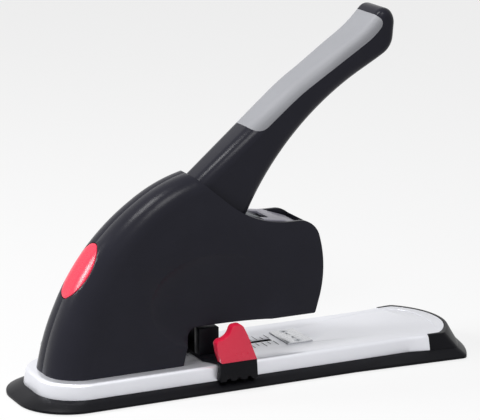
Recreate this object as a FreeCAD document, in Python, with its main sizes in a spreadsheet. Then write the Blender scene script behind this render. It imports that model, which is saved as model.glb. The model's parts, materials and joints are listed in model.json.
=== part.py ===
import FreeCAD, Part
import math
import os
import re
import Sketcher
from types import SimpleNamespace
from FreeCAD import Matrix, Placement, Rotation, Vector

# Heavy duty long arm stapler, modelled piece by piece in millimetres.
# +X runs along the base towards the end where the paper goes in, +Z is up,
# and the origin is the centre of the base on the table.

# Driving dimensions
SIZES = {
    # Base: a moulded skirt, a pressed cover with a bull nose band, and a black front cap
    "base_half_length": 149.0,
    "skirt_half_width": 39.8,
    "skirt_flare_width": 44.3,
    "skirt_flare_start": 60.0,
    "skirt_rear_radius": 32.0,
    "skirt_front_radius": 80.0,
    "skirt_corner_radius": 5.0,
    "skirt_lift": 0.8,
    "skirt_lip": 1.6,
    "skirt_top": 6.5,
    "skirt_wall": 2.4,
    "skirt_deck": 2.0,
    "band_rear": 138.5,
    "band_front": 145.0,
    "band_half_width": 33.2,
    "band_flare_width": 39.3,
    "band_flare_start": 100.0,
    "band_rear_radius": 26.0,
    "band_front_radius": 66.0,
    "band_end": 114.0,
    "cover_top": 16.0,
    "cover_rear": 136.5,
    "cover_front": 140.5,
    "cover_half_width": 32.4,
    "cover_flare_width": 34.2,
    "cover_rear_radius": 25.0,
    "cover_front_radius": 45.0,
    "cover_corner_radius": 6.0,
    "cover_wall": 1.2,
    "cover_edge_radius": 2.6,
    "plate_front": 138.3,
    "plate_half_width": 31.4,
    "plate_front_radius": 40.0,
    "plate_gap": 0.3,
    "cap_wall": 2.2,
    "slot_rear": -38.0,
    "slot_front": 21.0,
    "slot_width": 3.2,
    "hatch_gap": 0.6,
    "bed_thickness": 2.0,
    "bed_half_width": 29.0,
    "bed_rear": -132.0,
    "bed_front": 112.0,
    "bed_corner": 22.0,
    "foot_radius": 7.0,
    "foot_x": 112.0,
    "foot_y": 22.0,
    "base_screw_radius": 1.5,
    "base_screw_head_radius": 3.0,
    "base_screw_head": 1.6,
    "base_screw_x": 88.0,
    "base_screw_y": 20.0,
    # Anvil
    "anvil_x": 34.7,
    "anvil_length": 16.8,
    "anvil_width": 26.5,
    "anvil_plate": 1.8,
    "anvil_proud": 0.7,
    "anvil_gap": 0.4,
    "groove_radius": 0.9,
    "groove_reach": 5.6,
    "groove_start": 1.2,
    "anvil_screw_radius": 1.4,
    "anvil_screw_head_radius": 2.6,
    "anvil_screw_head": 1.1,
    "anvil_screw_y": 10.0,
    # Depth guide
    "guide_x": -19.3,
    "guide_foot_half": 12.5,
    "guide_crown_half": 11.8,
    "guide_bottom": 7.0,
    "guide_top": 18.4,
    "guide_leg": 4.9,
    "guide_gap": 0.4,
    "crown_width": 8.0,
    "gusset_width": 8.0,
    "arm_shift": 10.2,
    "arm_half": 6.6,
    "stop_inner": 10.6,
    "stop_width": 7.0,
    "stop_top": 35.0,
    "arch_radius": 1.6,
    "arch_pitch": 6.8,
    "runner_half": 6.0,
    "runner_gap": 0.3,
    "runner_foot_half": 5.0,
    "runner_foot": 1.6,
    "tab_thickness": 6.0,
    "tab_foot_x": -11.6,
    "tab_heel_x": 12.0,
    "tab_back_x": 6.1,
    "tab_back_z": 33.6,
    "tab_back_radius": 20.0,
    "tab_crest_x": 2.1,
    "tab_crest_z": 41.6,
    "tab_crest_radius": 4.0,
    "tab_brow_x": -4.3,
    "tab_brow_z": 41.2,
    "tab_brow_radius": 3.2,
    "tab_dip_x": -7.1,
    "tab_dip_z": 34.2,
    "tab_dip_radius": 7.0,
    "tab_lip_x": -15.3,
    "tab_lip_z": 32.6,
    "tab_lip_radius": 3.0,
    "tab_chin_x": -13.9,
    "tab_chin_z": 25.0,
    "tab_chin_radius": 8.0,
    # Head casing in side view
    "spine_foot_x": -131.3,
    "spine_heel_x": -126.8,
    "spine_heel_z": 37.5,
    "spine_heel_radius": 140.8,
    "spine_back_x": -103.7,
    "spine_back_z": 90.8,
    "spine_back_radius": 135.1,
    "spine_brow_x": -55.3,
    "spine_brow_z": 123.8,
    "spine_brow_radius": 93.5,
    "crest_x": -37.0,
    "crest_z": 128.8,
    "mouth_x": 2.1,
    "mouth_z": 95.3,
    "mouth_radius": 65.0,
    "nose_top_x": 41.9,
    "nose_top_z": 95.2,
    "nose_top_radius": 13.6,
    "nose_belly_x": 49.2,
    "nose_belly_z": 65.2,
    "nose_belly_radius": 68.0,
    "nose_foot_x": 39.6,
    "throat_top": 37.3,
    "throat_top_x": -43.8,
    "throat_foot_x": -50.0,
    "throat_radius": 7.4,
    "rim_radius": 1.5,
    # Head casing in cross section
    "head_half_width": 25.3,
    "head_draft": 0.0886,
    "head_wall": 2.4,
    "shoulder_low_radius": 21.0,
    "shoulder_high_radius": 13.0,
    "dent_x": -27.0,
    "dent_z": 53.0,
    "dent_length": 87.0,
    "dent_height": 58.0,
    "dent_depth": 6.0,
    "dent_ball": 9.0,
    "head_boss_radius": 4.0,
    "head_screw_radius": 1.5,
    "head_screw_head_radius": 3.0,
    "head_screw_head": 2.2,
    "slab_reach": 80.0,
    "slab_depth": 10.0,
    "slab_top": 170.0,
    "window_gap": 0.6,
    "running_gap": 0.2,
    "boss_low_x": -121.0,
    "boss_low_z": 27.0,
    "boss_high_x": -61.0,
    "boss_high_z": 107.0,
    "boss_mid_x": -30.0,
    "boss_mid_z": 69.0,
    # Steel frame
    "frame_gap": 8.6,
    "frame_thickness": 1.6,
    "frame_ear_radius": 12.0,
    "frame_top": 84.0,
    "frame_front": 36.6,
    "frame_neck_x": -13.5,
    "frame_shoulder_x": -52.0,
    "frame_shoulder_z": 98.0,
    "frame_ear_corner_x": -28.5,
    "frame_ear_corner_z": 116.0,
    "frame_back_x": -95.5,
    "frame_back_z": 67.5,
    "frame_heel_x": -109.0,
    "frame_heel_z": 44.0,
    "frame_foot_rear": -107.0,
    "frame_foot_front": -55.5,
    "frame_floor": 38.9,
    "frame_clearance": 0.4,
    "flange_width": 8.0,
    "flange_screw_front_x": -62.0,
    "flange_screw_rear_x": -98.0,
    "flange_screw_radius": 2.0,
    "flange_screw_head_radius": 3.4,
    "flange_screw_head": 1.8,
    "spacer_radius": 3.0,
    "rivet_radius": 2.0,
    "rivet_head": 1.0,
    "spacer_low_x": -101.0,
    "spacer_low_z": 28.0,
    "spacer_mid_x": -68.0,
    "spacer_mid_z": 80.0,
    "spacer_front_x": -22.0,
    "spacer_front_z": 78.0,
    # Handle
    "pivot_x": -21.2,
    "pivot_z": 107.0,
    "hub_radius": 22.3,
    "axle_radius": 4.0,
    "axle_clearance": 0.05,
    "handle_top_x": 29.2,
    "handle_top_z": 177.8,
    "handle_top_radius": 152.3,
    "handle_grip_x": 78.2,
    "handle_grip_z": 209.1,
    "handle_grip_radius": 85.4,
    "tip_top_x": 92.3,
    "tip_top_z": 224.9,
    "tip_top_radius": 6.4,
    "tip_end_x": 98.8,
    "tip_end_z": 214.0,
    "tip_end_radius": 11.0,
    "tip_low_x": 97.4,
    "tip_low_z": 196.0,
    "tip_low_radius": 14.0,
    "handle_low_x": 24.0,
    "handle_low_z": 149.4,
    "handle_low_radius": 186.0,
    "handle_half_width": 12.8,
    "handle_spread": 0.016,
    "handle_edge_radius": 8.4,
    "tip_edge_radius": 5.6,
    "edge_fade_start": 120,
    "handle_wall": 2.2,
    "skirt_angle": 168.0,
    "seam_mouth": 6.4,
    "seam_tip": 3.0,
    "grip_start": 47.0,
    "grip_end": 152.6,
    "grip_drop": 7.2,
    "grip_thickness": 1.2,
    "grip_corner": 9.0,
    "lever_gap": 0.6,
    "lever_inner": 5.6,
    "lever_thickness": 2.2,
    "lever_hub_radius": 11.0,
    "lever_arm_radius": 3.6,
    "lever_end_radius": 6.5,
    "nose_reach": 56.0,
    "nose_angle": -24.0,
    "tail_reach": 16.0,
    "tail_angle": 176.0,
    "tail_radius": 4.5,
    "lever_end_x": 50.0,
    "lever_end_z": 174.0,
    "roller_radius": 5.0,
    "roller_bore": 2.5,
    "roller_clearance": 0.3,
    "pin_clearance": 0.05,
    "handle_press": 32.0,
    "lever_core_radius": 2.0,
    "lever_spacer_radius": 3.0,
    "lever_spacer_gap": 1.0,
    "lever_spacer_first": 45.0,
    "lever_spacer_second": 103.0,
    "hub_sleeve_radius": 6.5,
    "handle_boss_radius": 3.6,
    "handle_screw_radius": 1.4,
    "handle_screw_head_radius": 2.6,
    "handle_screw_head": 1.8,
    "handle_screw_length": 11.0,
    "handle_screw_first": 62.0,
    "handle_screw_pitch": 32.0,
    # Return spring of the handle
    "return_anchor_x": -57.0,
    "return_anchor_z": 60.0,
    "return_coil_radius": 3.6,
    "return_wire": 1.1,
    "return_turns": 15.0,
    "return_pin_radius": 1.5,
    "spring_gap": 0.3,
    # Driver
    "ram_travel": 29.0,
    "ram_clearance": 0.2,
    "ram_rear": -3.0,
    "ram_bottom": 69.0,
    "ram_shelf": 76.0,
    "ram_top": 90.0,
    "ram_rib_half_width": 5.2,
    "blade_thickness": 1.0,
    "blade_width": 13.0,
    "blade_bottom": 49.8,
    "blade_top": 79.0,
    "clamp_plate": 2.6,
    "blade_screw_radius": 1.2,
    "blade_screw_head_radius": 2.2,
    "blade_screw_head": 1.4,
    "ram_pin_radius": 2.4,
    "ram_pin_rear_x": 3.0,
    "ram_pin_front_x": 26.5,
    "ram_pin_z": 73.0,
    "ram_pin_reach": 12.4,
    # Magazine that comes down on the paper
    "magazine_travel": 17.0,
    "channel_wall": 0.7,
    "channel_rear": -82.0,
    "channel_front": 26.0,
    "channel_floor": 1.0,
    "channel_top": 52.0,
    "channel_gap": 0.2,
    "shoe_rear": 26.0,
    "shoe_front": 40.6,
    "shoe_thickness": 1.1,
    "stud_radius": 1.6,
    "stud_z": 60.0,
    "stud_rear_x": -40.0,
    "stud_front_x": -10.0,
    "stud_reach": 11.4,
    "lug_half": 4.0,
    "lug_top": 63.6,
    "lift_pin_z": 82.0,
    "lift_spring_y": 4.2,
    "lift_spring_radius": 2.0,
    "lift_spring_wire": 0.7,
    "lift_spring_turns": 8.0,
    # Staple drawer
    "drawer_gap": 0.1,
    "drawer_lift": 0.2,
    "drawer_wall": 0.7,
    "drawer_floor": 1.0,
    "drawer_top": 54.0,
    "drawer_rear": -78.0,
    "drawer_front": 37.0,
    "drawer_tail_height": 9.5,
    "drawer_face_reach": 4.3,
    "drawer_face_half_width": 9.4,
    "drawer_face_top": 56.4,
    "exit_length": 3.4,
    "exit_half_width": 6.8,
    "pusher_length": 16.0,
    "pusher_gap": 0.2,
    "pusher_top": 49.4,
    "pusher_front": 33.6,
    "rod_radius": 1.5,
    "rod_z": 44.8,
    "rod_end": 0.6,
    "rod_clearance": 0.08,
    "pusher_spring_radius": 2.9,
    "pusher_spring_wire": 0.8,
    "pusher_spring_turns": 19.0,
    # Release button and latch
    "button_x": -105.5,
    "button_z": 75.5,
    "button_length": 37.0,
    "button_width": 24.0,
    "button_lean": 38.3,
    "button_thickness": 3.0,
    "button_gap": 0.5,
    "stem_radius": 2.6,
    "stem_length": 21.0,
    "bracket_depth": 15.0,
    "bracket_thickness": 1.6,
    "bracket_width": 13.0,
    "button_spring_radius": 4.0,
    "button_spring_wire": 0.8,
    "button_spring_turns": 4.0,
    "latch_half_thickness": 2.5,
    "latch_arm": 10.0,
    "latch_foot_z": 48.5,
    "latch_pin_radius": 2.0,
    "latch_arm_radius": 4.0,
    "latch_hook_x": -73.0,
    "latch_hook_z": 59.0,
    "latch_tooth_width": 3.0,
    "latch_gap": 0.3,
    "stem_collar_radius": 4.0,
    "stem_collar": 1.0,
    "stem_collar_gap": 0.3,
    # Saddle between the walls of the head, in front of the handle
    "saddle_thickness": 1.6,
    "saddle_rear": 8.6,
    "saddle_rear_z": 97.9,
    "saddle_mid_x": 22.0,
    "saddle_mid_z": 95.9,
    "saddle_front": 37.0,
    "saddle_front_z": 90.6,
    "saddle_side_gap": 0.3,
    "saddle_notch_x": 15.2,
    # One overrun serves every cut, and one small length tells when two spots are the same
    "overrun": 5.0,
    "match": 0.001,
    "alignment": 0.99,
}

doc = FreeCAD.newDocument("stapler")
sheet = doc.addObject("Spreadsheet::Sheet", "sizes")
for row, (alias, value) in enumerate(SIZES.items(), start=1):
    sheet.set("A%d" % row, alias)
    sheet.set("B%d" % row, str(value))
    sheet.setAlias("B%d" % row, alias)
doc.recompute()

# Every size is read back from the sheet, so the sheet drives the shapes
size = SimpleNamespace(**{alias: float(sheet.get(alias)) for alias in SIZES})
NODES = []


def bind(thing, prop, text):
    """Ties a property to the sheet: each word that is a size becomes a reference to its cell."""
    words = re.sub(r"[a-z_]+[a-z0-9_]*",
                   lambda m: "sizes." + m.group() if m.group() in SIZES else m.group(), text)
    thing.setExpression(prop, words)


def place(thing, x, y, z):
    bind(thing, "Placement.Base.x", x)
    bind(thing, "Placement.Base.y", y)
    bind(thing, "Placement.Base.z", z)


def node(thing, label):
    """Names a finished piece and puts it on the list of those that are written out."""
    thing.Label = label
    NODES.append(thing)
    return thing


def box(x, y, z, length, width, height):
    thing = doc.addObject("Part::Box", "block")
    bind(thing, "Length", length)
    bind(thing, "Width", width)
    bind(thing, "Height", height)
    place(thing, x, y, z)
    return thing


TURNS = {"x": Rotation(Vector(0, 1, 0), 90), "y": Rotation(Vector(1, 0, 0), -90), "z": Rotation(),
         "quarter": Rotation(Vector(0, 0, 1), 90)}


def rod(axis, x, y, z, radius, length):
    """A round bar that starts at the point given and runs along the axis named."""
    thing = doc.addObject("Part::Cylinder", "bar")
    thing.Placement = Placement(Vector(), TURNS[axis])
    bind(thing, "Radius", radius)
    bind(thing, "Height", length)
    place(thing, x, y, z)
    return thing


def fuse(*things):
    thing = doc.addObject("Part::MultiFuse", "joined")
    thing.Shapes = list(things)
    thing.Refine = True
    return thing


def cut(base, *tools):
    thing = doc.addObject("Part::Cut", "cut")
    thing.Base = base
    thing.Tool = tools[0] if len(tools) == 1 else fuse(*tools)
    return thing


def group(*things):
    """Like pieces that stay separate solids in one node."""
    thing = doc.addObject("Part::Compound", "group")
    thing.Links = list(things)
    return thing


def solid(shape):
    """A piece whose shape is worked out here from the sizes in the sheet."""
    thing = doc.addObject("Part::Feature", "solid")
    thing.Shape = shape
    return thing


PLANES = {"xy": "XY_Plane", "xz": "XZ_Plane", "yz": "YZ_Plane"}


def prism(plane, corners, start, length, rounds=()):
    """A body padded from a sketch. Corners are pairs of sums of sizes, and rounds lists (corner, radius)."""
    body = doc.addObject("PartDesign::Body", "body")
    support = [item for item in body.Origin.OriginFeatures if item.Role == PLANES[plane]][0]
    sketch = body.newObject("Sketcher::SketchObject", "outline")
    sketch.AttachmentSupport = (support, [""])
    sketch.MapMode = "FlatFace"
    flipped = plane == "xz"
    bind(sketch, "AttachmentOffset.Base.z", "-(%s)" % start if flipped else start)
    count = len(corners)
    for i in range(count):
        angle = 2 * math.pi * i / count
        after = 2 * math.pi * (i + 1) / count
        sketch.addGeometry(Part.LineSegment(Vector(math.cos(angle), math.sin(angle), 0),
                                            Vector(math.cos(after), math.sin(after), 0)), False)
    for i in range(count):
        sketch.addConstraint(Sketcher.Constraint("Coincident", i, 2, (i + 1) % count, 1))
    for i, (across, up) in enumerate(corners):
        for kind, text in (("DistanceX", across), ("DistanceY", up)):
            index = sketch.addConstraint(Sketcher.Constraint(kind, -1, 1, i, 1, 1.0))
            bind(sketch, "Constraints[%d]" % index, text)
    pad = body.newObject("PartDesign::Pad", "pad")
    pad.Profile = sketch
    pad.Reversed = flipped
    bind(pad, "Length", length)
    doc.recompute()
    spots = [sketch.Placement.multVec(line.StartPoint) for line in sketch.Geometry]
    last = pad
    for corner, radius in rounds:
        fillet = body.newObject("PartDesign::Fillet", "round")
        fillet.Base = (last, [edge_through(last.Shape, spots[corner], pad_direction(plane))])
        bind(fillet, "Radius", radius)
        doc.recompute()
        last = fillet
    body.Tip = last
    return body


def pad_direction(plane):
    return {"xy": Vector(0, 0, 1), "xz": Vector(0, 1, 0), "yz": Vector(1, 0, 0)}[plane]


def edge_through(shape, spot, direction):
    """The name of the straight edge along a direction that starts or ends at a sketch corner."""
    def off_line(edge):
        ends = [vertex.Point for vertex in edge.Vertexes]
        if len(ends) < 2 or abs((ends[1] - ends[0]).normalize().dot(direction)) < size.alignment:
            return float("inf")
        return (ends[0] - spot).cross(direction).Length
    best = min(range(len(shape.Edges)), key=lambda i: off_line(shape.Edges[i]))
    return "Edge%d" % (best + 1)


def rounded_wire(corners, closed=True):
    """Straight lines through (x, z, radius) corners of the plane y = 0, with an arc at each rounded one."""
    spots = [Vector(x, 0, z) for x, z, radius in corners]
    count = len(corners)
    ends, arcs = [], []
    for i, (x, z, radius) in enumerate(corners):
        here = spots[i]
        if radius == 0:
            ends.append((here, here))
            arcs.append(None)
            continue
        back = (spots[i - 1] - here).normalize()
        ahead = (spots[(i + 1) % count] - here).normalize()
        half = back.getAngle(ahead) / 2
        start = here + back * (radius / math.tan(half))
        end = here + ahead * (radius / math.tan(half))
        middle = here + (back + ahead).normalize() * (radius / math.sin(half) - radius)
        ends.append((start, end))
        arcs.append(Part.Arc(start, middle, end).toShape())
    edges = []
    for i in range(count):
        if arcs[i]:
            edges.append(arcs[i])
        if closed or i < count - 1:
            start, end = ends[i][1], ends[(i + 1) % count][0]
            if (end - start).Length > size.match:
                edges.append(Part.makeLine(start, end))
    return Part.Wire(edges)


def slab(wire, start, end):
    """The area inside a wire of the plane y = 0, padded from one y to another."""
    face = Part.Face(wire)
    face.translate(Vector(0, start, 0))
    return face.extrude(Vector(0, end - start, 0))


def circle(x, z, radius):
    return Part.Wire(Part.makeCircle(radius, Vector(x, 0, z), Vector(0, 1, 0)))


def disc(x, z, radius, start, end):
    return slab(circle(x, z, radius), start, end)


def block(x0, x1, y0, y1, z0, z1):
    return Part.makeBox(x1 - x0, y1 - y0, z1 - z0, Vector(x0, y0, z0))


def tangent_spot(centre, radius, spot, side):
    """Where a line from a spot touches a circle: side is 1 for the left of the way out, or -1."""
    away = spot - centre
    turn = side * math.degrees(math.acos(radius / away.Length))
    return centre + Rotation(Vector(0, -1, 0), turn).multVec(away).normalize() * radius


def strap(centre, radius, other, other_radius, start, end):
    """A flat link with two round ends and straight flanks that touch both."""
    along = (other - centre).normalize()
    lean = math.acos((radius - other_radius) / (other - centre).Length)
    left = Rotation(Vector(0, -1, 0), math.degrees(lean)).multVec(along)
    right = Rotation(Vector(0, 1, 0), math.degrees(lean)).multVec(along)
    near, near_left, near_right = [centre + way * radius for way in (-along, left, right)]
    far, far_left, far_right = [other + way * other_radius for way in (along, left, right)]
    wire = Part.Wire([Part.Arc(near_right, near, near_left).toShape(), Part.makeLine(near_left, far_left),
                      Part.Arc(far_left, far, far_right).toShape(), Part.makeLine(far_right, near_right)])
    return slab(wire, start, end)


def coil(start, end, radius, wire, turns):
    """A round wire wound from start to end about the line between them; both its ends lie on the y side."""
    run = (end - start).Length - wire
    path = Part.makeHelix(run / turns, run, radius)
    ring = Part.Wire(Part.makeCircle(wire / 2, Vector(radius, 0, 0),
                                     Vector(0, 1, run / turns / radius / math.tau)))
    tube = Part.Wire(path.Edges).makePipeShell([ring], True, True)
    along = (end - start).normalize()
    turned = Rotation(Vector(0, 0, 1), along).multiply(TURNS["quarter"])
    tube.Placement = Placement(start + along * (wire / 2), turned)
    return tube


# Base outlines at three heights: the rim on the table, the foot of the band and the top
LEVELS = {
    "rim": (-size.base_half_length, size.skirt_half_width, size.skirt_flare_width, size.skirt_flare_start,
            size.base_half_length, size.skirt_front_radius, size.skirt_rear_radius, size.skirt_corner_radius),
    "band": (-size.band_rear, size.band_half_width, size.band_flare_width, size.band_flare_start,
             size.band_front, size.band_front_radius, size.band_rear_radius, size.skirt_corner_radius),
    "top": (-size.cover_rear, size.cover_half_width, size.cover_flare_width, size.band_flare_start,
            size.cover_front, size.cover_front_radius, size.cover_rear_radius, size.cover_corner_radius),
    "plate": (-size.cover_rear, size.plate_half_width, size.plate_half_width, size.band_flare_start,
              size.plate_front, size.plate_front_radius, size.cover_rear_radius, size.cover_corner_radius),
}


def plan_wire(level, z, inset=0):
    """A base outline at a height, moved inwards by the inset: round behind, flared and bowed in front."""
    rear, width, flare, flare_start, front, bow, rear_radius, corner = LEVELS[level]
    rear, front = rear + inset, front - inset
    width, flare = width - inset, flare - inset
    bow, rear_radius, corner = bow - inset, rear_radius - inset, corner - inset
    bow_x, corner_y = front - bow, flare - corner
    corner_x = bow_x + math.sqrt((bow - corner) ** 2 - corner_y ** 2)
    meet = Vector(corner_x - bow_x, corner_y).normalize()
    slant = (Vector(1, 0) + Vector(0, 1)).normalize()
    lean = (meet + Vector(0, 1)).normalize()
    half = [Vector(rear, 0), Vector(rear, width - rear_radius),
            Vector(rear + rear_radius, width - rear_radius) + Vector(-slant.x, slant.y) * rear_radius,
            Vector(rear + rear_radius, width), Vector(flare_start, width), Vector(corner_x, flare),
            Vector(corner_x, corner_y) + lean * corner, Vector(corner_x, corner_y) + meet * corner,
            Vector(front, 0)]
    spots = [Vector(spot.x, spot.y, z) for spot in half]
    twins = [Vector(spot.x, -spot.y, z) for spot in half]
    return Part.Wire([
        Part.makeLine(twins[1], spots[1]), Part.Arc(spots[1], spots[2], spots[3]).toShape(),
        Part.makeLine(spots[3], spots[4]), Part.makeLine(spots[4], spots[5]),
        Part.Arc(spots[5], spots[6], spots[7]).toShape(), Part.Arc(spots[7], spots[8], twins[7]).toShape(),
        Part.Arc(twins[7], twins[6], twins[5]).toShape(), Part.makeLine(twins[5], twins[4]),
        Part.makeLine(twins[4], twins[3]), Part.Arc(twins[3], twins[2], twins[1]).toShape()])


def plan_loft(low, high):
    return Part.makeLoft([low, high], True, True)


def plan_slab(level, low, high, inset=0):
    return Part.Face(plan_wire(level, low, inset)).extrude(Vector(0, 0, high - low))


# Base skirt with its deck
deck_bottom = size.skirt_top - size.skirt_deck
skirt_edge = size.skirt_lift + size.skirt_lip
skirt = plan_slab("rim", size.skirt_lift, skirt_edge)
skirt = skirt.fuse(plan_loft(plan_wire("rim", skirt_edge), plan_wire("band", size.skirt_top)))
skirt = skirt.cut(plan_slab("band", 0, deck_bottom, size.skirt_wall)).removeSplitter()


def four(x, y, z, radius, length):
    """Four upright bars at the corners of a rectangle."""
    return group(*[rod("z", sx + x, sy + y, z, radius, length) for sx in ("", "-") for sy in ("", "-")])


base_bolts = four("base_screw_x", "base_screw_y", "skirt_top - skirt_deck", "base_screw_radius",
                  "skirt_deck + bed_thickness")
node(cut(solid(skirt), base_bolts), "base_skirt")
node(four("foot_x", "foot_y", "0", "foot_radius", "skirt_top - skirt_deck"), "rubber_feet")
node(group(*[fuse(rod("z", sx + "base_screw_x", sy + "base_screw_y", "skirt_top - skirt_deck",
                      "base_screw_radius", "skirt_deck + bed_thickness"),
                  rod("z", sx + "base_screw_x", sy + "base_screw_y",
                      "skirt_top - skirt_deck - base_screw_head", "base_screw_head_radius",
                      "base_screw_head"))
             for sx in ("", "-") for sy in ("", "-")]), "base_screws")

# Steel bed plate, with holes for the screws from below and for those of the frame
flange_middle = "frame_gap + frame_thickness + flange_width / 2"
FRAME_BOLTS = [(x, sy + "(" + flange_middle + ")") for x in ("flange_screw_front_x", "flange_screw_rear_x")
               for sy in ("", "-")]
bed = prism("xy", [("bed_rear", "-bed_half_width"), ("bed_front", "-bed_half_width"),
                   ("bed_front", "bed_half_width"), ("bed_rear", "bed_half_width")],
            "skirt_top", "bed_thickness", [(0, "bed_corner"), (3, "bed_corner")])
frame_bolt_holes = group(*[rod("z", x, y, "skirt_top", "flange_screw_radius",
                               "bed_thickness + frame_thickness")
                           for x, y in FRAME_BOLTS])
node(cut(bed, base_bolts, frame_bolt_holes), "base_plate")

# Silver cover: the bull nose band, closed on top, and the plate that runs on over the cap
cover_skin = plan_loft(plan_wire("band", size.skirt_top), plan_wire("top", size.cover_top))
top_edges = [edge for edge in cover_skin.Edges
             if min(vertex.Z for vertex in edge.Vertexes) > size.cover_top - size.cover_wall]
cover_skin = cover_skin.makeFillet(size.cover_edge_radius, top_edges)
plate_bottom = size.cover_top - size.cover_wall
reach = size.base_half_length + size.overrun
ahead_of_band = block(size.band_end, reach, -reach, reach, 0, reach)
cover = cover_skin.cut(plan_loft(plan_wire("band", size.skirt_top, size.cover_wall),
                                 plan_wire("top", plate_bottom, size.cover_wall))).cut(ahead_of_band)
cover = cover.fuse(plan_slab("plate", plate_bottom, size.cover_top).common(ahead_of_band))
hatch_half = size.frame_gap + size.frame_thickness + size.flange_width + size.hatch_gap
hatch = block(size.frame_foot_rear - size.hatch_gap, size.frame_foot_front + size.hatch_gap,
              -hatch_half, hatch_half, 0, reach)
anvil_half_x, anvil_half_y = size.anvil_length / 2 + size.anvil_gap, size.anvil_width / 2 + size.anvil_gap
window = block(size.anvil_x - anvil_half_x, size.anvil_x + anvil_half_x, -anvil_half_y, anvil_half_y,
               0, reach)
slot = block(size.slot_rear, size.slot_front, -size.slot_width / 2, size.slot_width / 2, 0, reach)
cover = cover.cut(Part.makeCompound([hatch, window, slot])).removeSplitter()
node(solid(cover), "base_cover")

# Black front cap, with a step that the plate lies in
cap = plan_loft(plan_wire("band", size.skirt_top), plan_wire("top", size.cover_top)).common(ahead_of_band)
cap = cap.cut(plan_slab("plate", plate_bottom, reach, -size.plate_gap))
cap_hollow = plan_loft(plan_wire("band", size.skirt_top, size.cap_wall),
                       plan_wire("top", plate_bottom - size.cap_wall, size.cap_wall))
node(solid(cap.cut(cap_hollow).removeSplitter()), "front_end_cap")

# Anvil: a block on the bed, and a plate with two clinch grooves
anvil_foot = "skirt_top + bed_thickness"
anvil_seat = "cover_top + anvil_proud - anvil_plate"
anvil_top = "cover_top + anvil_proud"
anvil_screws = []
for side in ("", "-"):
    shank = rod("z", "anvil_x", side + "anvil_screw_y", anvil_foot, "anvil_screw_radius",
                "%s - anvil_screw_head - (%s)" % (anvil_top, anvil_foot))
    head = rod("z", "anvil_x", side + "anvil_screw_y", anvil_top + " - anvil_screw_head",
               "anvil_screw_head_radius", "anvil_screw_head")
    anvil_screws.append(fuse(shank, head))
anvil_corner = ("anvil_x - anvil_length / 2", "-anvil_width / 2")
node(cut(box(*anvil_corner, anvil_foot, "anvil_length", "anvil_width",
             "%s - (%s)" % (anvil_seat, anvil_foot)), *anvil_screws), "anvil_block")
grooves = [rod("y", "anvil_x", y, anvil_top, "groove_radius", "groove_reach")
           for y in ("groove_start", "-groove_start - groove_reach")]
node(cut(box(*anvil_corner, anvil_seat, "anvil_length", "anvil_width", "anvil_plate"),
         *anvil_screws, *grooves), "anvil_plate")
node(group(*anvil_screws), "anvil_screws")

# Depth guide: a leg down the band, an arm across the plate with two stops, and a red finger tab
leg_inner = "band_half_width + guide_gap"
leg_outer = leg_inner + " + guide_leg"
arm_foot = "cover_top + guide_gap"
leg = prism("xz", [("guide_x - guide_foot_half", "guide_bottom"),
                   ("guide_x + guide_foot_half", "guide_bottom"),
                   ("guide_x + guide_crown_half", "guide_top"), ("guide_x - guide_crown_half", "guide_top")],
            "-(%s)" % leg_outer, "guide_leg")
crown = prism("xy", [("guide_x - guide_crown_half", "-(%s)" % leg_outer),
                     ("guide_x + guide_crown_half", "-(%s)" % leg_outer),
                     ("guide_x + guide_crown_half", "crown_width - (%s)" % leg_outer),
                     ("guide_x - arm_shift + arm_half", "crown_width + gusset_width - (%s)" % leg_outer),
                     ("guide_x - arm_shift + arm_half", "stop_inner + stop_width"),
                     ("guide_x - arm_shift - arm_half", "stop_inner + stop_width"),
                     ("guide_x - arm_shift - arm_half", "crown_width + gusset_width - (%s)" % leg_outer),
                     ("guide_x - guide_crown_half", "crown_width - (%s)" % leg_outer)],
              arm_foot, "guide_top - (%s)" % arm_foot)
arches = [rod("y", x, "-(%s) - overrun" % leg_outer, "guide_bottom", "arch_radius", "guide_leg + 2 * overrun")
          for x in ("guide_x - arch_pitch", "guide_x", "guide_x + arch_pitch")]
node(cut(fuse(leg, crown), *arches), "guide_slider")
stops = [box("guide_x - arm_shift - arm_half", y, "guide_top", "2 * arm_half", "stop_width",
             "stop_top - guide_top") for y in ("stop_inner", "-stop_inner - stop_width")]
node(group(*stops), "guide_stops")
node(fuse(box("guide_x - arm_shift - runner_half", "runner_gap - slot_width / 2",
              "cover_top - cover_wall - runner_gap", "2 * runner_half", "slot_width - 2 * runner_gap",
              "cover_wall + runner_gap + guide_gap"),
          box("guide_x - arm_shift - runner_half", "-runner_foot_half",
              "cover_top - cover_wall - runner_gap - runner_foot", "2 * runner_half", "2 * runner_foot_half",
              "runner_foot")), "guide_runner")
tab = rounded_wire([(size.guide_x + x, z, radius) for x, z, radius in (
    (size.tab_foot_x, size.guide_top, 0), (size.tab_heel_x, size.guide_top, 0),
    (size.tab_back_x, size.tab_back_z, size.tab_back_radius),
    (size.tab_crest_x, size.tab_crest_z, size.tab_crest_radius),
    (size.tab_brow_x, size.tab_brow_z, size.tab_brow_radius),
    (size.tab_dip_x, size.tab_dip_z, size.tab_dip_radius),
    (size.tab_lip_x, size.tab_lip_z, size.tab_lip_radius),
    (size.tab_chin_x, size.tab_chin_z, size.tab_chin_radius))])
tab_outer = size.band_half_width + size.guide_gap + size.guide_leg
node(solid(slab(tab, -tab_outer, size.tab_thickness - tab_outer)), "guide_tab")

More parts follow.
